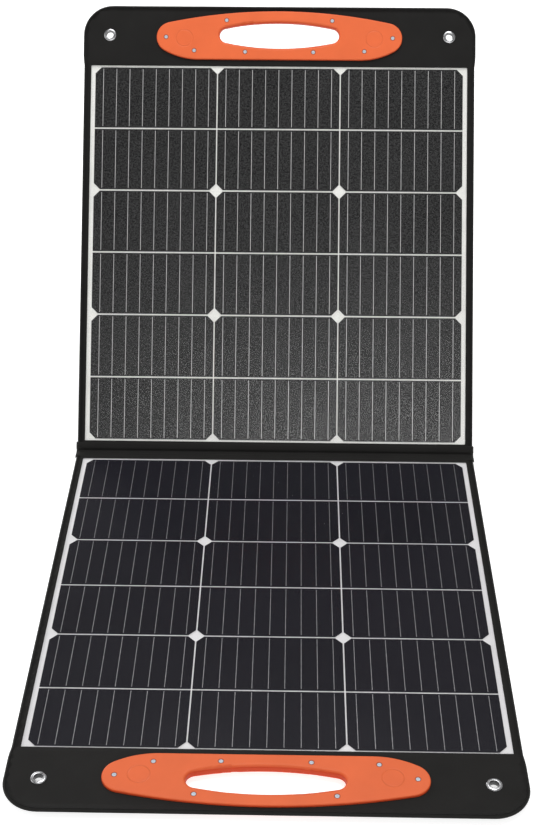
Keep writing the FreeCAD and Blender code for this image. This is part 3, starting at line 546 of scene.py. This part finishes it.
def build_cover(side, material):
    """Front border and flap, rolled edge and back in one cloth shell."""
    outline = panel_outline(7.0)
    rim = offset(outline, -EDGE_ROUND)
    window = rounded_box_line(WINDOW_SIDE + 0.9, WINDOW_NEAR - 0.9, WINDOW_FAR + 0.9, 2, 2, 8.0)
    openings = [hand_opening()] + [circle(place, 5.4) for place in GROMMETS]
    points, faces = [], []
    add_plane(points, faces, fill(rim, [window, *openings], 6.0, 2.0), outline, front_height, 1)
    add_plane(points, faces, fill(rim, openings, 9.0, 3.0), outline, back_height, -1)

    steps = 6
    start = len(points)
    for i in range(steps + 1):
        turn = pi / 2 - pi * i / steps
        for (x, v), n in zip(rim, outward(outline)):
            top, low = front_height(x, v, EDGE_ROUND), back_height(x, v, EDGE_ROUND)
            reach = EDGE_ROUND * cos(turn)
            w = (top + low) / 2 + (top - low) / 2 * sin(turn)
            points.append((x + n.x * reach, v + n.y * reach, w))
    faces.extend(grid_faces(steps + 1, len(rim), start, closed=True))

    lip_steps = 4
    start = len(points)
    edges = distances(window, outline)
    for i in range(lip_steps + 1):
        turn = pi / 2 * i / lip_steps
        for (x, v), n, edge in zip(window, outward(window), edges):
            top = front_height(x, v, edge)
            slide = -0.9 * sin(turn)
            w = FILM + (top - FILM) * cos(turn)
            points.append((x + n.x * slide, v + n.y * slide, w))
    faces.extend(grid_faces(lip_steps + 1, len(window), start, closed=True))

    piece = make_piece(f"{side}_cover_cloth", points, faces, PANEL[side], material)
    weld(piece)
    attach(piece, f"{side}_panel")
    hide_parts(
        f"{side}_front_cover", f"{side}_back_cover", f"{side}_edge_piping", f"{side}_flap_stiffener"
    )


def build_stitches(name, rows, matrix, body, material, length=2.7, width=0.5, height=0.32):
    """Rows of raised thread stitches. Each row is a list of (point, along, up) spots in mm."""
    points, faces = [], []
    for row in rows:
        for spot, along, up in row:
            across = up.cross(along)
            start = len(points)
            for step, swell in ((-0.5, 0.25), (-0.3, 0.9), (0.3, 0.9), (0.5, 0.25)):
                for i in range(5):
                    turn = pi * i / 4
                    out = across * (cos(turn) * width / 2 * swell)
                    rise = up * (sin(turn) * height * swell)
                    points.append(spot + along * (step * length) + out + rise)
            faces.extend(grid_faces(4, 5, start))
    piece = make_piece(name, points, faces, matrix, material)
    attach(piece, body)


def stitch_line(line, height, pitch, up, closed=True):
    """Evenly spaced stitch spots along a line of (x, v) points."""
    spots = []
    carry = 0.0
    ends = line[1:] + line[:1] if closed else line[1:]
    for here, there in zip(line, ends):
        a, b = Vector(here), Vector(there)
        run = b - a
        if run.length < 1e-6:
            continue
        along = run.normalized()
        while carry < run.length:
            p = a + along * carry
            spots.append((Vector((*p, height(*p))), Vector((*along, 0)), Vector((0, 0, up))))
            carry += pitch
        carry -= run.length
    return spots


def build_cover_stitching(side, material):
    seam = offset(panel_outline(3.0), -EDGE_SEAM)
    flap = [(x, FLAP_STITCHES) for x in (-262, 262)]
    rows = []
    for line, edge, closed in ((seam, EDGE_SEAM, True), (flap, CLEAR_OF_EDGE, False)):
        for face, up in ((front_height, 1), (back_height, -1)):

            def height(x, v):
                return face(x, v, edge) - THREAD_SINK * up

            rows.append(stitch_line(line, height, STITCH_PITCH, up, closed))
    build_stitches(f"{side}_cover_stitching", rows, PANEL[side], f"{side}_panel", material)


# ---- solar laminate

FILM_GLOSS = {"lower": 0.012, "upper": 0.034}
FILM_EMBOSS = {"lower": 0.25, "upper": 0.9}
FILM_ROUGHNESS = {"lower": 0.2, "upper": 0.27}
# painted reflection: how much grey mottle is painted into the cells as the film's glints on each panel
PAINTED_GLINT_SHARE = {"lower": 0.08, "upper": 0.8}
PAINTED_GLINT_TONE = (0.028, 0.028, 0.028)
COLUMN_PITCH = 167.6
ROW_PITCH = 85.0
CELLS_HALF = 251.4
CELLS_NEAR = 14.5
FINGER_PITCH = 1.6
TINT_SEED = {"lower": 3.7, "upper": 8.1}


def film_look(side):
    """Clear embossed film: a thin reflecting layer that lets the cells show."""
    look = Look(f"{side}_embossed_film", (0.9, 0.9, 0.9), 0.4, metallic=1.0)
    spot = look.place(PANEL[side])
    dimples = look.noise(spot, 2.0, detail=1)
    haze = look.noise(spot, 90, detail=3)
    look.set("Normal", look.bump(dimples, 0.06, 0.2))
    rough = FILM_ROUGHNESS[side]
    look.set("Roughness", look.span(haze, 0.3, 0.7, rough - 0.03, rough + 0.04))
    gloss, spread = FILM_GLOSS[side], FILM_EMBOSS[side]
    look.set("Alpha", look.span(dimples, 0.38, 0.62, gloss * (1 - spread), gloss * (1 + spread)))
    look.material.surface_render_method = "BLENDED"
    return look.material


def build_film(side):
    """One clear sheet over the cells, from the window's lip to lip."""
    columns = rows = 36
    points = []
    for r in range(rows + 1):
        for c in range(columns + 1):
            x = -WINDOW_SIDE - 2 + (2 * WINDOW_SIDE + 4) * c / columns
            v = WINDOW_NEAR - 2 + (WINDOW_FAR - WINDOW_NEAR + 4) * r / rows
            points.append((x, v, FILM + 0.03 * soft_noise(x, v, 60, 4.2)))
    piece = make_piece(
        f"{side}_film", points, grid_faces(rows + 1, columns + 1), PANEL[side], film_look(side)
    )
    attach(piece, f"{side}_panel")
    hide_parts(f"{side}_front_film", f"{side}_encapsulant")


def cell_look(side, dark, light):
    """Silicon: each half cell has its own tint, with faint fingers across the busbars and a grey mottle
    painted over it as the film's glints.
    """
    look = Look(f"{side}_silicon", dark, 0.38, specular=0.1)
    spot = look.place(PANEL[side])
    split = look.node("ShaderNodeSeparateXYZ", {"Vector": spot})
    across = look.math("ADD", split.outputs["X"], CELLS_HALF)
    column = look.math("FLOOR", look.math("DIVIDE", across, COLUMN_PITCH))
    along = look.math("SUBTRACT", split.outputs["Y"], CELLS_NEAR)
    row = look.math("FLOOR", look.math("DIVIDE", along, ROW_PITCH))
    cell = look.node("ShaderNodeCombineXYZ", {"X": column, "Y": row, "Z": TINT_SEED[side]})
    tint = look.node("ShaderNodeTexWhiteNoise", {"Vector": cell.outputs["Vector"]})
    base = look.mix(tint.outputs["Value"], dark, light)
    hue = look.mix(tint.outputs["Color"], (0.9, 1.02, 1.02), (1.08, 0.98, 1.04))
    base = look.mix(0.6, base, hue, "MULTIPLY")
    mottle = look.noise(spot, 2.5, detail=1)
    clouds = look.noise(spot, 50, detail=3)
    base = look.mix(look.span(clouds, 0.35, 0.7, 0, 0.35), base, scaled(light, 1.25))
    # painted reflection: a grey mottle stands in for the embossed film's glints
    base = look.mix(look.span(mottle, 0.43, 0.58, 0, PAINTED_GLINT_SHARE[side]), base, PAINTED_GLINT_TONE)
    fingers = look.bands(spot, FINGER_PITCH, "Y")
    base = look.mix(look.span(fingers, 0.85, 1.0, 0, 0.12), base, scaled(light, 2.2))
    look.set("Base Color", base)
    look.set("Roughness", look.span(mottle, 0.3, 0.7, 0.32, 0.46))
    look.set("Normal", look.bump(mottle, 0.05, 0.3))
    return look.material


def backsheet_look(side, colour):
    look = Look(f"{side}_white_sheet", colour, 0.5)
    spot = look.place(PANEL[side])
    clouds = look.noise(spot, 30, detail=4)
    specks = look.noise(spot, 1.5, detail=2)
    tone = look.mix(look.span(clouds), scaled(colour, 0.93), scaled(colour, 1.03))
    tone = look.mix(look.span(specks, 0.3, 0.8, 0, 0.12), tone, scaled(colour, 0.75))
    look.set("Base Color", tone)
    look.set("Normal", look.bump(specks, 0.05, 0.25))
    return look.material


# ---- fold fabric


def uv_grid(piece, rows, columns, width, length):
    """Cloth coordinates in metres for a piece made of one grid of quads."""
    layer = piece.data.uv_layers.new(name="UVMap")
    for loop in piece.data.loops:
        r, c = divmod(loop.vertex_index, columns)
        layer.data[loop.index].uv = (width * c / (columns - 1) * MM, length * r / (rows - 1) * MM)


def build_fold_cloth(material):
    """One strip sewn over both panels' edges, with the crease it folds along."""
    reach = WINDOW_NEAR - 2.2
    half = HALF_WIDTH + 0.9
    profile = []
    steps = 26
    for i in range(steps + 1):
        t = 2 * i / steps - 1
        side = "lower" if t < 0 else "upper"
        v = abs(t) * reach
        crown = 0.75 if side == "upper" else 0.35
        w = FRONT + 0.25 + crown * sin(pi * min(1, v / reach)) ** 0.8
        w -= 1.5 * math.exp(-((v / 1.5) ** 2))
        w -= 0.6 * max(0, v - reach + 1) ** 2
        profile.append((side, v, w))
    columns = 150
    points = []
    for side, v, w in profile:
        for c in range(columns + 1):
            s = 2 * c / columns - 1
            x = half * s
            drop = 2.2 * max(0, (abs(x) - half + 2.5) / 2.5) ** 2
            waver = 0.14 * soft_noise(x, v, 22, 6.6) + 0.06 * soft_noise(x, v, 5, 2.2)
            end_swell = 0.8 * hump(abs(x), half - 5, 5)
            place = Vector((x if side == "upper" else -x, v, w + waver + end_swell - drop))
            points.append(PANEL[side] @ place)
    piece = make_piece(
        "fold_cloth", points, grid_faces(steps + 1, columns + 1), Matrix.Identity(4), material
    )
    uv_grid(piece, steps + 1, columns + 1, 2 * half, 2 * reach)
    thicken(piece, 0.0009, -1)
    start, end = (PANEL[side] @ Vector((0, 3.0, FRONT)) for side in SIDES)
    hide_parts("lower_fold_strip", "upper_fold_strip", "lower_link_ribbons", "upper_link_ribbons")
    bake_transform(piece)
    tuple(start)
    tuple(end)
    return piece


# ---- handles and hardware


def handle_look(side, colour):
    """Bright moulded handle with painted shade: a deeper tone round its edges, dark screw sinks and
    patchy dark magnet rings.
    """
    look = Look(f"{side}_handle_plastic", colour, 0.45, specular=0.2)
    spot = look.place(PANEL[side])
    spark = look.noise(spot, 0.6, detail=2)
    drift = look.noise(spot, 55, detail=3)
    marks = look.noise(spot, 8, detail=6, roughness=0.7)
    tone = look.mix(look.span(drift), scaled(colour, 0.95), scaled(colour, 1.04))
    tone = look.mix(look.span(marks, 0.6, 0.8, 0, 0.12), tone, scaled(colour, 0.78))

    # painted shade: the tone deepens where the surface turns away from the panel's face, standing in for
    # shade on the rounded edges
    normal = look.node("ShaderNodeTexCoord").outputs["Normal"]
    across = TURN[side].to_matrix() @ Vector((0, 0, 1))
    facing = look.node("ShaderNodeVectorMath", {0: normal, 1: across}, operation="DOT_PRODUCT")
    flatness = look.math("ABSOLUTE", facing.outputs["Value"])
    tone = look.mix(look.span(flatness, 0.3, 0.97, 1, 0), tone, EDGE_SHADE_ORANGE)

    front = look.span(facing.outputs["Value"], 0.3, 0.8)
    # painted shade: a dark ring round each screw stands in for the shadow in its sink
    sink_shade = look.math("MULTIPLY", front, look.span(look.away(spot, SCREWS), 2.5, 3.7, 0.85, 0))
    tone = look.mix(sink_shade, tone, scaled(EDGE_SHADE_ORANGE, 0.35))
    ring = look.math("ABSOLUTE", look.math("SUBTRACT", look.away(spot, [MAGNET]), MAGNET_RING))
    band = look.math("MULTIPLY", front, look.span(ring, 0.0, 1.1, 1, 0))
    # painted shade: patchy darkening along the magnet ring stands in for shade in its groove
    ring_shade = look.math("MULTIPLY", band, look.span(look.noise(spot, 14, detail=1), 0.35, 0.6))
    tone = look.mix(look.math("MULTIPLY", ring_shade, 0.35), tone, scaled(colour, 0.68))
    look.set("Base Color", tone)
    look.set("Roughness", look.span(marks, 0.3, 0.75, 0.4, 0.55))
    grooves = look.bump(look.math("SUBTRACT", 1.0, band), 0.35, 0.7)
    look.set("Normal", look.bump(spark, 0.05, 0.35, grooves))
    return look.material


def screw_look(side, colour):
    """Bright steel crowns with painted shade darkening their rims."""
    look = Look(f"{side}_screw_steel", colour, 0.45, metallic=0.3)
    spot = look.place(PANEL[side])
    fine = look.noise(spot, 0.4, detail=3)
    # painted shade: the crown goes dark towards its rim, standing in for the shadow of the recess
    rim = look.span(look.away(spot, SCREWS), 1.8, 2.5, 0, 0.85)
    tone = look.mix(look.span(fine), colour, scaled(colour, 0.8))
    look.set("Base Color", look.mix(rim, tone, scaled(colour, 0.12)))
    look.set("Roughness", look.span(fine, 0.3, 0.7, 0.4, 0.55))
    look.set("Normal", look.bump(fine, 0.03, 0.3))
    return look.material


def eyelet_look(side, colour):
    """Nickel plate with dull patches, and painted shade darkening the inside of its hole."""
    look = Look(f"{side}_nickel", colour, 0.26, metallic=1.0)
    spot = look.place(PANEL[side])
    dull = look.noise(spot, 4, detail=5)
    fine = look.noise(spot, 0.4, detail=3)
    # painted shade: the metal goes nearly black inside the hole, standing in for the shade beneath the
    # panel
    bore_shade = look.span(look.away(spot, GROMMETS[:1]), 4.6, 5.3, 0.88, 0)
    tone = look.mix(look.span(dull, 0.35, 0.7), colour, scaled(colour, 0.75))
    look.set("Base Color", look.mix(bore_shade, tone, scaled(colour, 0.08)))
    look.set("Roughness", look.span(dull, 0.3, 0.75, 0.18, 0.4))
    look.set("Normal", look.bump(fine, 0.04, 0.3))
    return look.material


def spun(profile, centre, matrix, name, material, steps=40):
    """A lathe-turned ring about the panel's normal at a centre; the profile is (radius, level)."""
    points = []
    for radius, level in profile:
        for i in range(steps):
            turn = 2 * pi * i / steps
            points.append((*on_circle(centre, radius, turn), level))
    return make_piece(name, points, grid_faces(len(profile), steps, closed=True), matrix, material)


def build_grommets(side, material):
    """Rolled nickel eyelets with their washers crimped at the back."""
    front = (
        (8.4, -0.35), (8.35, 0.15), (7.9, 0.55), (7.0, 0.85), (6.0, 1.0),
        (5.2, 0.92), (4.75, 0.55), (4.55, -0.1), (4.5, -1.2),
    )
    back = (
        (4.5, 1.0), (4.55, 0.4), (4.7, -0.5), (5.3, -0.95), (6.1, -0.85),
        (6.6, -0.5), (7.2, -0.6), (8.1, -0.5), (8.4, 0.2),
    )
    ring = [(radius, FRONT + w) for radius, w in front] + [(radius, BACK + w) for radius, w in back]
    for label, place in zip(("left", "right"), GROMMETS):
        piece = spun(ring, place, PANEL[side], f"{side}_{label}_eyelet", material)
        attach(piece, f"{side}_panel")
        if label == "left":
            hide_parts(f"{side}_grommet_eyelets", f"{side}_grommet_washers")


# ---- kickstands and straps

KICK_HALF = 180.0
KICK_LENGTH = 309.2
KICK_ROUND = 2.9


def build_kickstand(side, cloth, thread):
    """A board wrapped in cloth: rounded edges, a soft crown on both faces and a sewn border."""
    line = rounded_box_line(KICK_HALF, -KICK_ROUND, KICK_LENGTH + KICK_ROUND, 5, 5, 7.0)
    rim = offset(line, -KICK_ROUND)

    def face_height(x, y, sign, edge):
        level = KICK_ROUND - 0.1 + 0.1 * soft_noise(x, y, 60, 4 + sign) + 0.04 * soft_noise(x, y, 9, 7)
        level -= 0.3 * hump(edge, KICK_SEAM, 1.0)
        return sign * level

    plane = fill(rim, [], 9.0, 3.0)
    points, faces = [], []
    for sign in (1, -1):
        add_plane(points, faces, plane, line, lambda x, y, edge: face_height(x, y, sign, edge), sign)
    start = len(points)
    steps = 6
    for i in range(steps + 1):
        turn = pi / 2 - pi * i / steps
        for (x, y), n in zip(rim, outward(line)):
            reach = KICK_ROUND * cos(turn)
            level = KICK_ROUND * sin(turn) * 0.97
            if i in (0, steps):
                level = face_height(x, y, 1 if i == 0 else -1, KICK_ROUND)
            points.append((x + n.x * reach, y + n.y * reach, level))
    faces += grid_faces(steps + 1, len(rim), start, closed=True)
    piece = make_piece(f"{side}_kickstand_cloth", points, faces, KICK[side], cloth)
    weld(piece)
    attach(piece, f"{side}_kickstand")
    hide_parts(f"{side}_kickstand_cover", f"{side}_kickstand_board")
    seam = offset(line, -KICK_SEAM)
    rows = []
    for up in (1, -1):

        def height(x, y):
            return face_height(x, y, up, KICK_SEAM) - THREAD_SINK * up

        rows.append(stitch_line(seam, height, STITCH_PITCH, up))
    build_stitches(f"{side}_kickstand_stitching", rows, KICK[side], f"{side}_kickstand", thread)


def build_hinge_tape(side, material):
    """Cloth tape from the panel's back, round the kickstand's hinge edge and onto its outer face."""
    open_turn = KICK_TURN[side] - pi
    radius = KICK_ROUND + 0.55
    last = pi * 1.5 + open_turn
    profile = [(KICK_REACH + 27 - 4.2 * i, BACK - 0.55 - 0.25 * sin(pi * i / 6)) for i in range(6)]
    profile += arc_points(KICK_CENTRE, radius, math.radians(78), last, 10)
    out = Vector((cos(last), sin(last)))
    along = Vector((cos(last + pi * 1.5), sin(last + pi * 1.5)))
    for i in range(1, 6):
        p = Vector(KICK_CENTRE) + out * radius + along * (3.4 * i)
        profile.append((p.x, p.y))
    columns = 90
    points = []
    for v, w in profile:
        for c in range(columns + 1):
            x = (2 * c / columns - 1) * (KICK_HALF - 1)
            points.append((x, v + 0.15 * soft_noise(x, v, 30, 8.8), w))
    piece = make_piece(
        f"{side}_hinge_tape", points, grid_faces(len(profile), columns + 1), PANEL[side], material
    )
    uv_grid(piece, len(profile), columns + 1, 2 * KICK_HALF, 55)
    thicken(piece, 0.0007, 0)
    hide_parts(f"{side}_kickstand_hinge_tape")
    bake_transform(piece)


STRAP_SIDE = 191.0
STRAP_RADIUS = 215.0
STRAP_WIDTH = 18.0
STOWED_STRAP_DEPTH = 104.0


def strap_path(side):
    """Centre line of a strap: its (v, w) points in the panel frame, from panel to kickstand."""
    half_turn = KICK_OPEN / 2
    steps = 24
    path = []
    for i in range(steps + 1):
        s = i / steps
        if side == "upper":
            turn = KICK_OPEN * (0.5 + math.atan((2 * s - 1) * math.tan(half_turn)) / KICK_OPEN)
            radius = STRAP_RADIUS * cos(half_turn) / cos(turn - half_turn)
            turn = 0.012 + turn * 0.985
            path.append(on_circle(KICK_CENTRE, -radius, turn))
        else:
            share = 0.5 - sin(math.asin(1 - 2 * s) / 3)
            fold_radius = STRAP_RADIUS - STOWED_STRAP_DEPTH * sin(pi * s) ** 1.4
            path.append((KICK_REACH - fold_radius, BACK - 1.0 - (abs(KICK_LEVEL - BACK) - 0.8) * share))
    return path


def build_strap(side, hand, material):
    path = strap_path(side)
    columns = 8
    points = []
    for index, (v, w) in enumerate(path):
        before, after = path[max(0, index - 1)], path[min(len(path) - 1, index + 1)]
        run = Vector((after[0] - before[0], after[1] - before[1])).normalized()
        up = Vector((-run.y, run.x))
        for c in range(columns + 1):
            s = 2 * c / columns - 1
            rise = 0.12 * (1 - s * s)
            x = hand * STRAP_SIDE + s * STRAP_WIDTH / 2
            points.append((x, v + up.x * rise, w + up.y * rise))
    name = f"{side}_strap_{'right' if hand > 0 else 'left'}"
    piece = make_piece(name, points, grid_faces(len(path), columns + 1), PANEL[side], material)
    uv_grid(piece, len(path), columns + 1, STRAP_WIDTH, 218)
    thicken(piece, 0.0011, 0)
    if hand > 0:
        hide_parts(f"{side}_kickstand_straps")
    start, end = (PANEL[side] @ Vector((0, *point)) for point in (path[0], path[-1]))
    # the upper strap's start point is moved a third of the way along, where a taut strap starts to bend
    # so that most of its slack folds outwards
    start = start.lerp(end, 0.33 if side == "upper" else 0)
    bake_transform(piece)
    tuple(start)
    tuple(end)


def sewn_patch(name, half_x, half_y, centre, matrix, body, material, thread, thickness):
    """A square of webbing with rounded edges, sewn down with a box of stitches and a cross."""
    cx, cy, cz = centre
    columns = rows = 12
    points = []
    for r in range(rows + 1):
        for c in range(columns + 1):
            s, t = 2 * c / columns - 1, 2 * r / rows - 1
            edge = max(abs(s), abs(t))
            level = thickness * (1 - max(0, (edge - 0.8) / 0.2) ** 2 * 0.9)
            ribs = 0.06 * cos(s * half_x * 4)
            points.append((cx + s * half_x, cy + t * half_y, cz + level + ribs))
    piece = make_piece(name, points, grid_faces(rows + 1, columns + 1), matrix, material)
    uv_grid(piece, rows + 1, columns + 1, 2 * half_x, 2 * half_y)
    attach(piece, body)
    up = 1 if thickness > 0 else -1
    level = cz + thickness

    def height(x, y):
        return level - 0.1 * up

    inset = half_y - 2.5
    box = [(x + cx, y + cy) for x, y in rectangle(half_x - 2.5, -inset, inset)]
    seams = [stitch_line(box, height, 3.0, up)]
    for i in (0, 1):
        seams.append(stitch_line([box[i], box[i + 2]], height, 3.0, up, closed=False))
    build_stitches(f"{name}_stitches", seams, matrix, body, thread, length=2.1, width=0.45)
    return piece


def build_strap_anchors(side, webbing, thread):
    for hand, label in ((1, "right"), (-1, "left")):
        name = f"{side}_strap_patch_{label}"
        place = (hand * STRAP_SIDE, KICK_REACH - STRAP_RADIUS - 8, BACK - 0.15)
        patch = sewn_patch(name, 9.0, 13.0, place, PANEL[side], f"{side}_panel", webbing, thread, -1.2)
        name = f"{side}_strap_tab_{label}"
        place = (hand * (STRAP_SIDE - 4.0), STRAP_RADIUS, 0.6)
        tab = sewn_patch(name, 13.0, 13.0, place, KICK[side], f"{side}_kickstand", webbing, thread, 0.9)
        if hand > 0:
            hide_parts(f"{side}_strap_patches")
            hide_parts(f"{side}_kickstand_strap_tabs")


# ---- cable pouch

POUCH_NEAR = 380.0
POUCH_FAR = 520.0
POUCH_HALF = 200.0
POUCH_DEPTH = 12.4
ZIP_REACH = 496.0
ZIP_HALF = 178.0


def pouch_rise(x, v):
    """How far the pouch stands out from the panel's back, in millimetres."""
    s = abs(x) / POUCH_HALF
    t = (v - POUCH_NEAR) / (POUCH_FAR - POUCH_NEAR)
    side = 1 - min(1, max(0, (s - 0.93) / 0.07)) ** 2.2
    ends = min(1, t / 0.09, (1 - t) / 0.09)
    ends = 1 - (1 - ends) ** 2.2
    sag = 0.86 + 0.14 * sin(pi * min(1, (1 - t) ** 0.8))
    belly = 0.9 + 0.1 * cos(x / 62 + 0.6) * sin(pi * t)
    wrinkle = 0.5 * soft_noise(x, v, 34, 3.3) + 0.25 * soft_noise(x, v, 13, 7.7)
    return max(0.0, side * ends) ** 0.75 * (POUCH_DEPTH * sag * belly + wrinkle)


def pouch_level(x, v):
    level = BACK - pouch_rise(x, v)
    near_zip = hump(v, ZIP_REACH, 5.5) * (1 if abs(x) < ZIP_HALF + 2 else 0)
    flat = BACK - POUCH_DEPTH + 0.9
    return level + (flat - level) * min(1, 1.15 * near_zip)


def build_pouch(cloth, thread):
    """A gusseted bag that sags towards the fold, open along its zip."""
    columns, rows = 128, 64
    points = []
    for r in range(rows + 1):
        for c in range(columns + 1):
            x = (2 * c / columns - 1) * POUCH_HALF
            v = POUCH_NEAR + (POUCH_FAR - POUCH_NEAR) * r / rows
            pull = 1.0 - 0.012 * sin(pi * r / rows)
            points.append((x * pull, v, pouch_level(x, v)))
    faces = []
    for face in grid_faces(rows + 1, columns + 1):
        r, c = divmod(face[0], columns + 1)
        v = POUCH_NEAR + (POUCH_FAR - POUCH_NEAR) * (r + 0.5) / rows
        x = (2 * (c + 0.5) / columns - 1) * POUCH_HALF
        if abs(v - ZIP_REACH) < 2.4 and abs(x) < ZIP_HALF - 3:
            continue
        faces.append(face)
    piece = make_piece("cable_pouch_cloth", points, faces, PANEL["upper"], cloth)
    uv_grid(piece, rows + 1, columns + 1, 2 * POUCH_HALF, POUCH_FAR - POUCH_NEAR)
    thicken(piece, 0.0009, 1)
    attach(piece, "upper_panel")
    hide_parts("cable_pouch")

    def height(x, v):
        return pouch_level(x, v) - 0.9

    inset = 3.2
    edge = rectangle(POUCH_HALF - inset, POUCH_NEAR + inset, POUCH_FAR - inset)
    seams = [stitch_line(spaced(edge, 5), height, STITCH_PITCH, -1)]
    for gap in (-5.4, 5.4):
        # the line is spaced there and back, and only the way there is sewn
        both_ways = spaced([(-ZIP_HALF, ZIP_REACH + gap), (ZIP_HALF, ZIP_REACH + gap)], 5)
        there = both_ways[: len(both_ways) // 2 + 1]
        seams.append(stitch_line(there, height, STITCH_PITCH, -1, closed=False))
    build_stitches("cable_pouch_stitching", seams, PANEL["upper"], "upper_panel", thread)


def build_zip(tape_cloth, teeth):
    """Two woven tapes and the coil's interlocking turns between them."""
    level = BACK - POUCH_DEPTH + 0.6
    points, faces = [], []
    columns = 80
    for sign in (-1, 1):
        start = len(points)
        for t in range(5):
            v = ZIP_REACH + sign * (1.1 + 1.5 * t)
            for c in range(columns + 1):
                x = (2 * c / columns - 1) * ZIP_HALF
                points.append((x, v, level + 0.25 * t + 0.08 * soft_noise(x, v, 15, 5)))
        faces += grid_faces(5, columns + 1, start)
    tapes = make_piece("pouch_zip_tape", points, faces, PANEL["upper"], tape_cloth)
    thicken(tapes, 0.0005, 0)
    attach(tapes, "upper_panel")
    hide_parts("pouch_zip_tapes")

    points, faces = [], []
    pitch = 1.5
    count = int(2 * (ZIP_HALF - 2) / pitch)
    for i in range(count):
        x = -ZIP_HALF + 2 + i * pitch
        sign = 1 if i % 2 else -1
        start = len(points)
        for step in range(7):
            turn = pi * (step / 6)
            v = ZIP_REACH + sign * (0.35 + 0.85 * -cos(turn))
            w = level - 0.95 * sin(turn)
            for k in range(5):
                around = 2 * pi * k / 5
                rise, fall = 0.2 * sin(around), 0.3 * sin(around)
                points.append((x + 0.34 * cos(around), v + rise, w - fall))
        faces += grid_faces(7, 5, start, closed=True)
    coil = make_piece("pouch_zip_coil_turns", points, faces, PANEL["upper"], teeth)
    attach(coil, "upper_panel")
    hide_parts("pouch_zip_coil")


# ---- putting it together

BLACK_CLOTH = (0.0098, 0.0094, 0.0088)
# painted shade: the upper panel's cloth is painted darker than the lower's, for how light falls on it
CLOTH_LIT_SHARE = {"lower": 1.0, "upper": 0.8}
THREAD = (0.009, 0.009, 0.009)
GREY_THREAD = (0.045, 0.045, 0.047)
ORANGE = (0.69, 0.128, 0.040)
# painted shade: the deeper orange of the handle's edges and screw sinks
EDGE_SHADE_ORANGE = (0.52, 0.052, 0.010)
# painted light: both panels hold the same cells, busbars and white sheet; the lower panel's cells are
# painted lighter and bluer, and its busbars and white sheet darker, for how each panel is lit
CELL_LIT_TONES = {
    "lower": ((0.0034, 0.0029, 0.0062), (0.0054, 0.0048, 0.009)),
    "upper": ((0.002, 0.002, 0.0022), (0.004, 0.004, 0.0042)),
}
BUSBAR_LIT_TONES = {"lower": (0.27, 0.27, 0.28), "upper": (0.58, 0.58, 0.58)}
SHEET_LIT_TONES = {"lower": (0.70, 0.69, 0.70), "upper": (0.78, 0.78, 0.745)}


def dress_panel(side):
    place = PANEL[side]
    cloth = cloth_look(f"{side}_cloth", scaled(BLACK_CLOTH, CLOTH_LIT_SHARE[side]), place, pitch=0.8)
    thread = cloth_look(f"{side}_thread", THREAD, place, pitch=0.4, roughness=0.6, bump=0.2)
    build_cover(side, cloth)
    build_cover_stitching(side, thread)
    build_film(side)
    paint(f"{side}_solar_cells", cell_look(side, *CELL_LIT_TONES[side]))
    paint(f"{side}_backsheet", backsheet_look(side, SHEET_LIT_TONES[side]))
    busbar = metal_look(f"{side}_silver", BUSBAR_LIT_TONES[side], place, roughness=0.5, grain=1.2)
    paint(f"{side}_cell_busbars", busbar)
    paint(f"{side}_bus_ribbons", metal_look(f"{side}_tin", (0.6, 0.6, 0.58), place, roughness=0.4))
    paint(f"{side}_stiffener_board", moulded_look(f"{side}_board", (0.10, 0.08, 0.06), place, 0.8))
    shell = handle_look(side, ORANGE)
    paint(f"{side}_handle_front", shell)
    paint(f"{side}_handle_rear", shell)
    paint(f"{side}_handle_screws", screw_look(side, (0.56, 0.61, 0.68)))
    paint(f"{side}_handle_magnets", metal_look(f"{side}_magnet", (0.5, 0.5, 0.52), place))
    build_grommets(side, eyelet_look(side, (0.46, 0.46, 0.47)))

    kick = KICK[side]
    kick_cloth = cloth_look(f"{side}_kick_cloth", scaled(BLACK_CLOTH, 1.2), kick, pitch=1.0)
    kick_thread = cloth_look(f"{side}_kick_thread", GREY_THREAD, kick, pitch=0.4, roughness=0.6, bump=0.2)
    build_kickstand(side, kick_cloth, kick_thread)
    build_hinge_tape(side, cloth_look(f"{side}_tape_cloth", BLACK_CLOTH, pitch=0.7))
    webbing = cloth_look(f"{side}_webbing", (0.024, 0.024, 0.025), pitch=1.6, bump=0.6)
    for hand in (1, -1):
        build_strap(side, hand, webbing)
    build_strap_anchors(side, webbing, thread)


def dress_pouch():
    place = PANEL["upper"]
    cloth = cloth_look("pouch_cloth", scaled(BLACK_CLOTH, 1.25), place, pitch=1.1)
    build_pouch(cloth, cloth_look("pouch_thread", GREY_THREAD, place, pitch=0.4, bump=0.2))
    plastic = moulded_look("zip_plastic", (0.018, 0.018, 0.02), place, 0.4)
    build_zip(cloth_look("zip_tape_cloth", (0.016, 0.016, 0.017), place, pitch=0.6), plastic)
    metal = metal_look("zip_metal", (0.13, 0.13, 0.14), place, roughness=0.32)
    paint("pouch_zip_slider", metal)
    paint("pouch_zip_pull", metal)
    housing = moulded_look("box_plastic", (0.02, 0.02, 0.021), place, 0.5, grain=0.8)
    for node in ("junction_box", "junction_box_lid", "cable_gland"):
        paint(node, housing)
    paint("bypass_diodes", moulded_look("diode_epoxy", (0.03, 0.03, 0.03), place, 0.45))
    paint("terminal_clips", metal_look("clip_metal", (0.6, 0.55, 0.45), place, roughness=0.4))


build_stage()
for panel_side in SIDES:
    dress_panel(panel_side)
build_fold_cloth(cloth_look("fold_fabric", scaled(BLACK_CLOTH, 0.9), pitch=0.8))
dress_pouch()
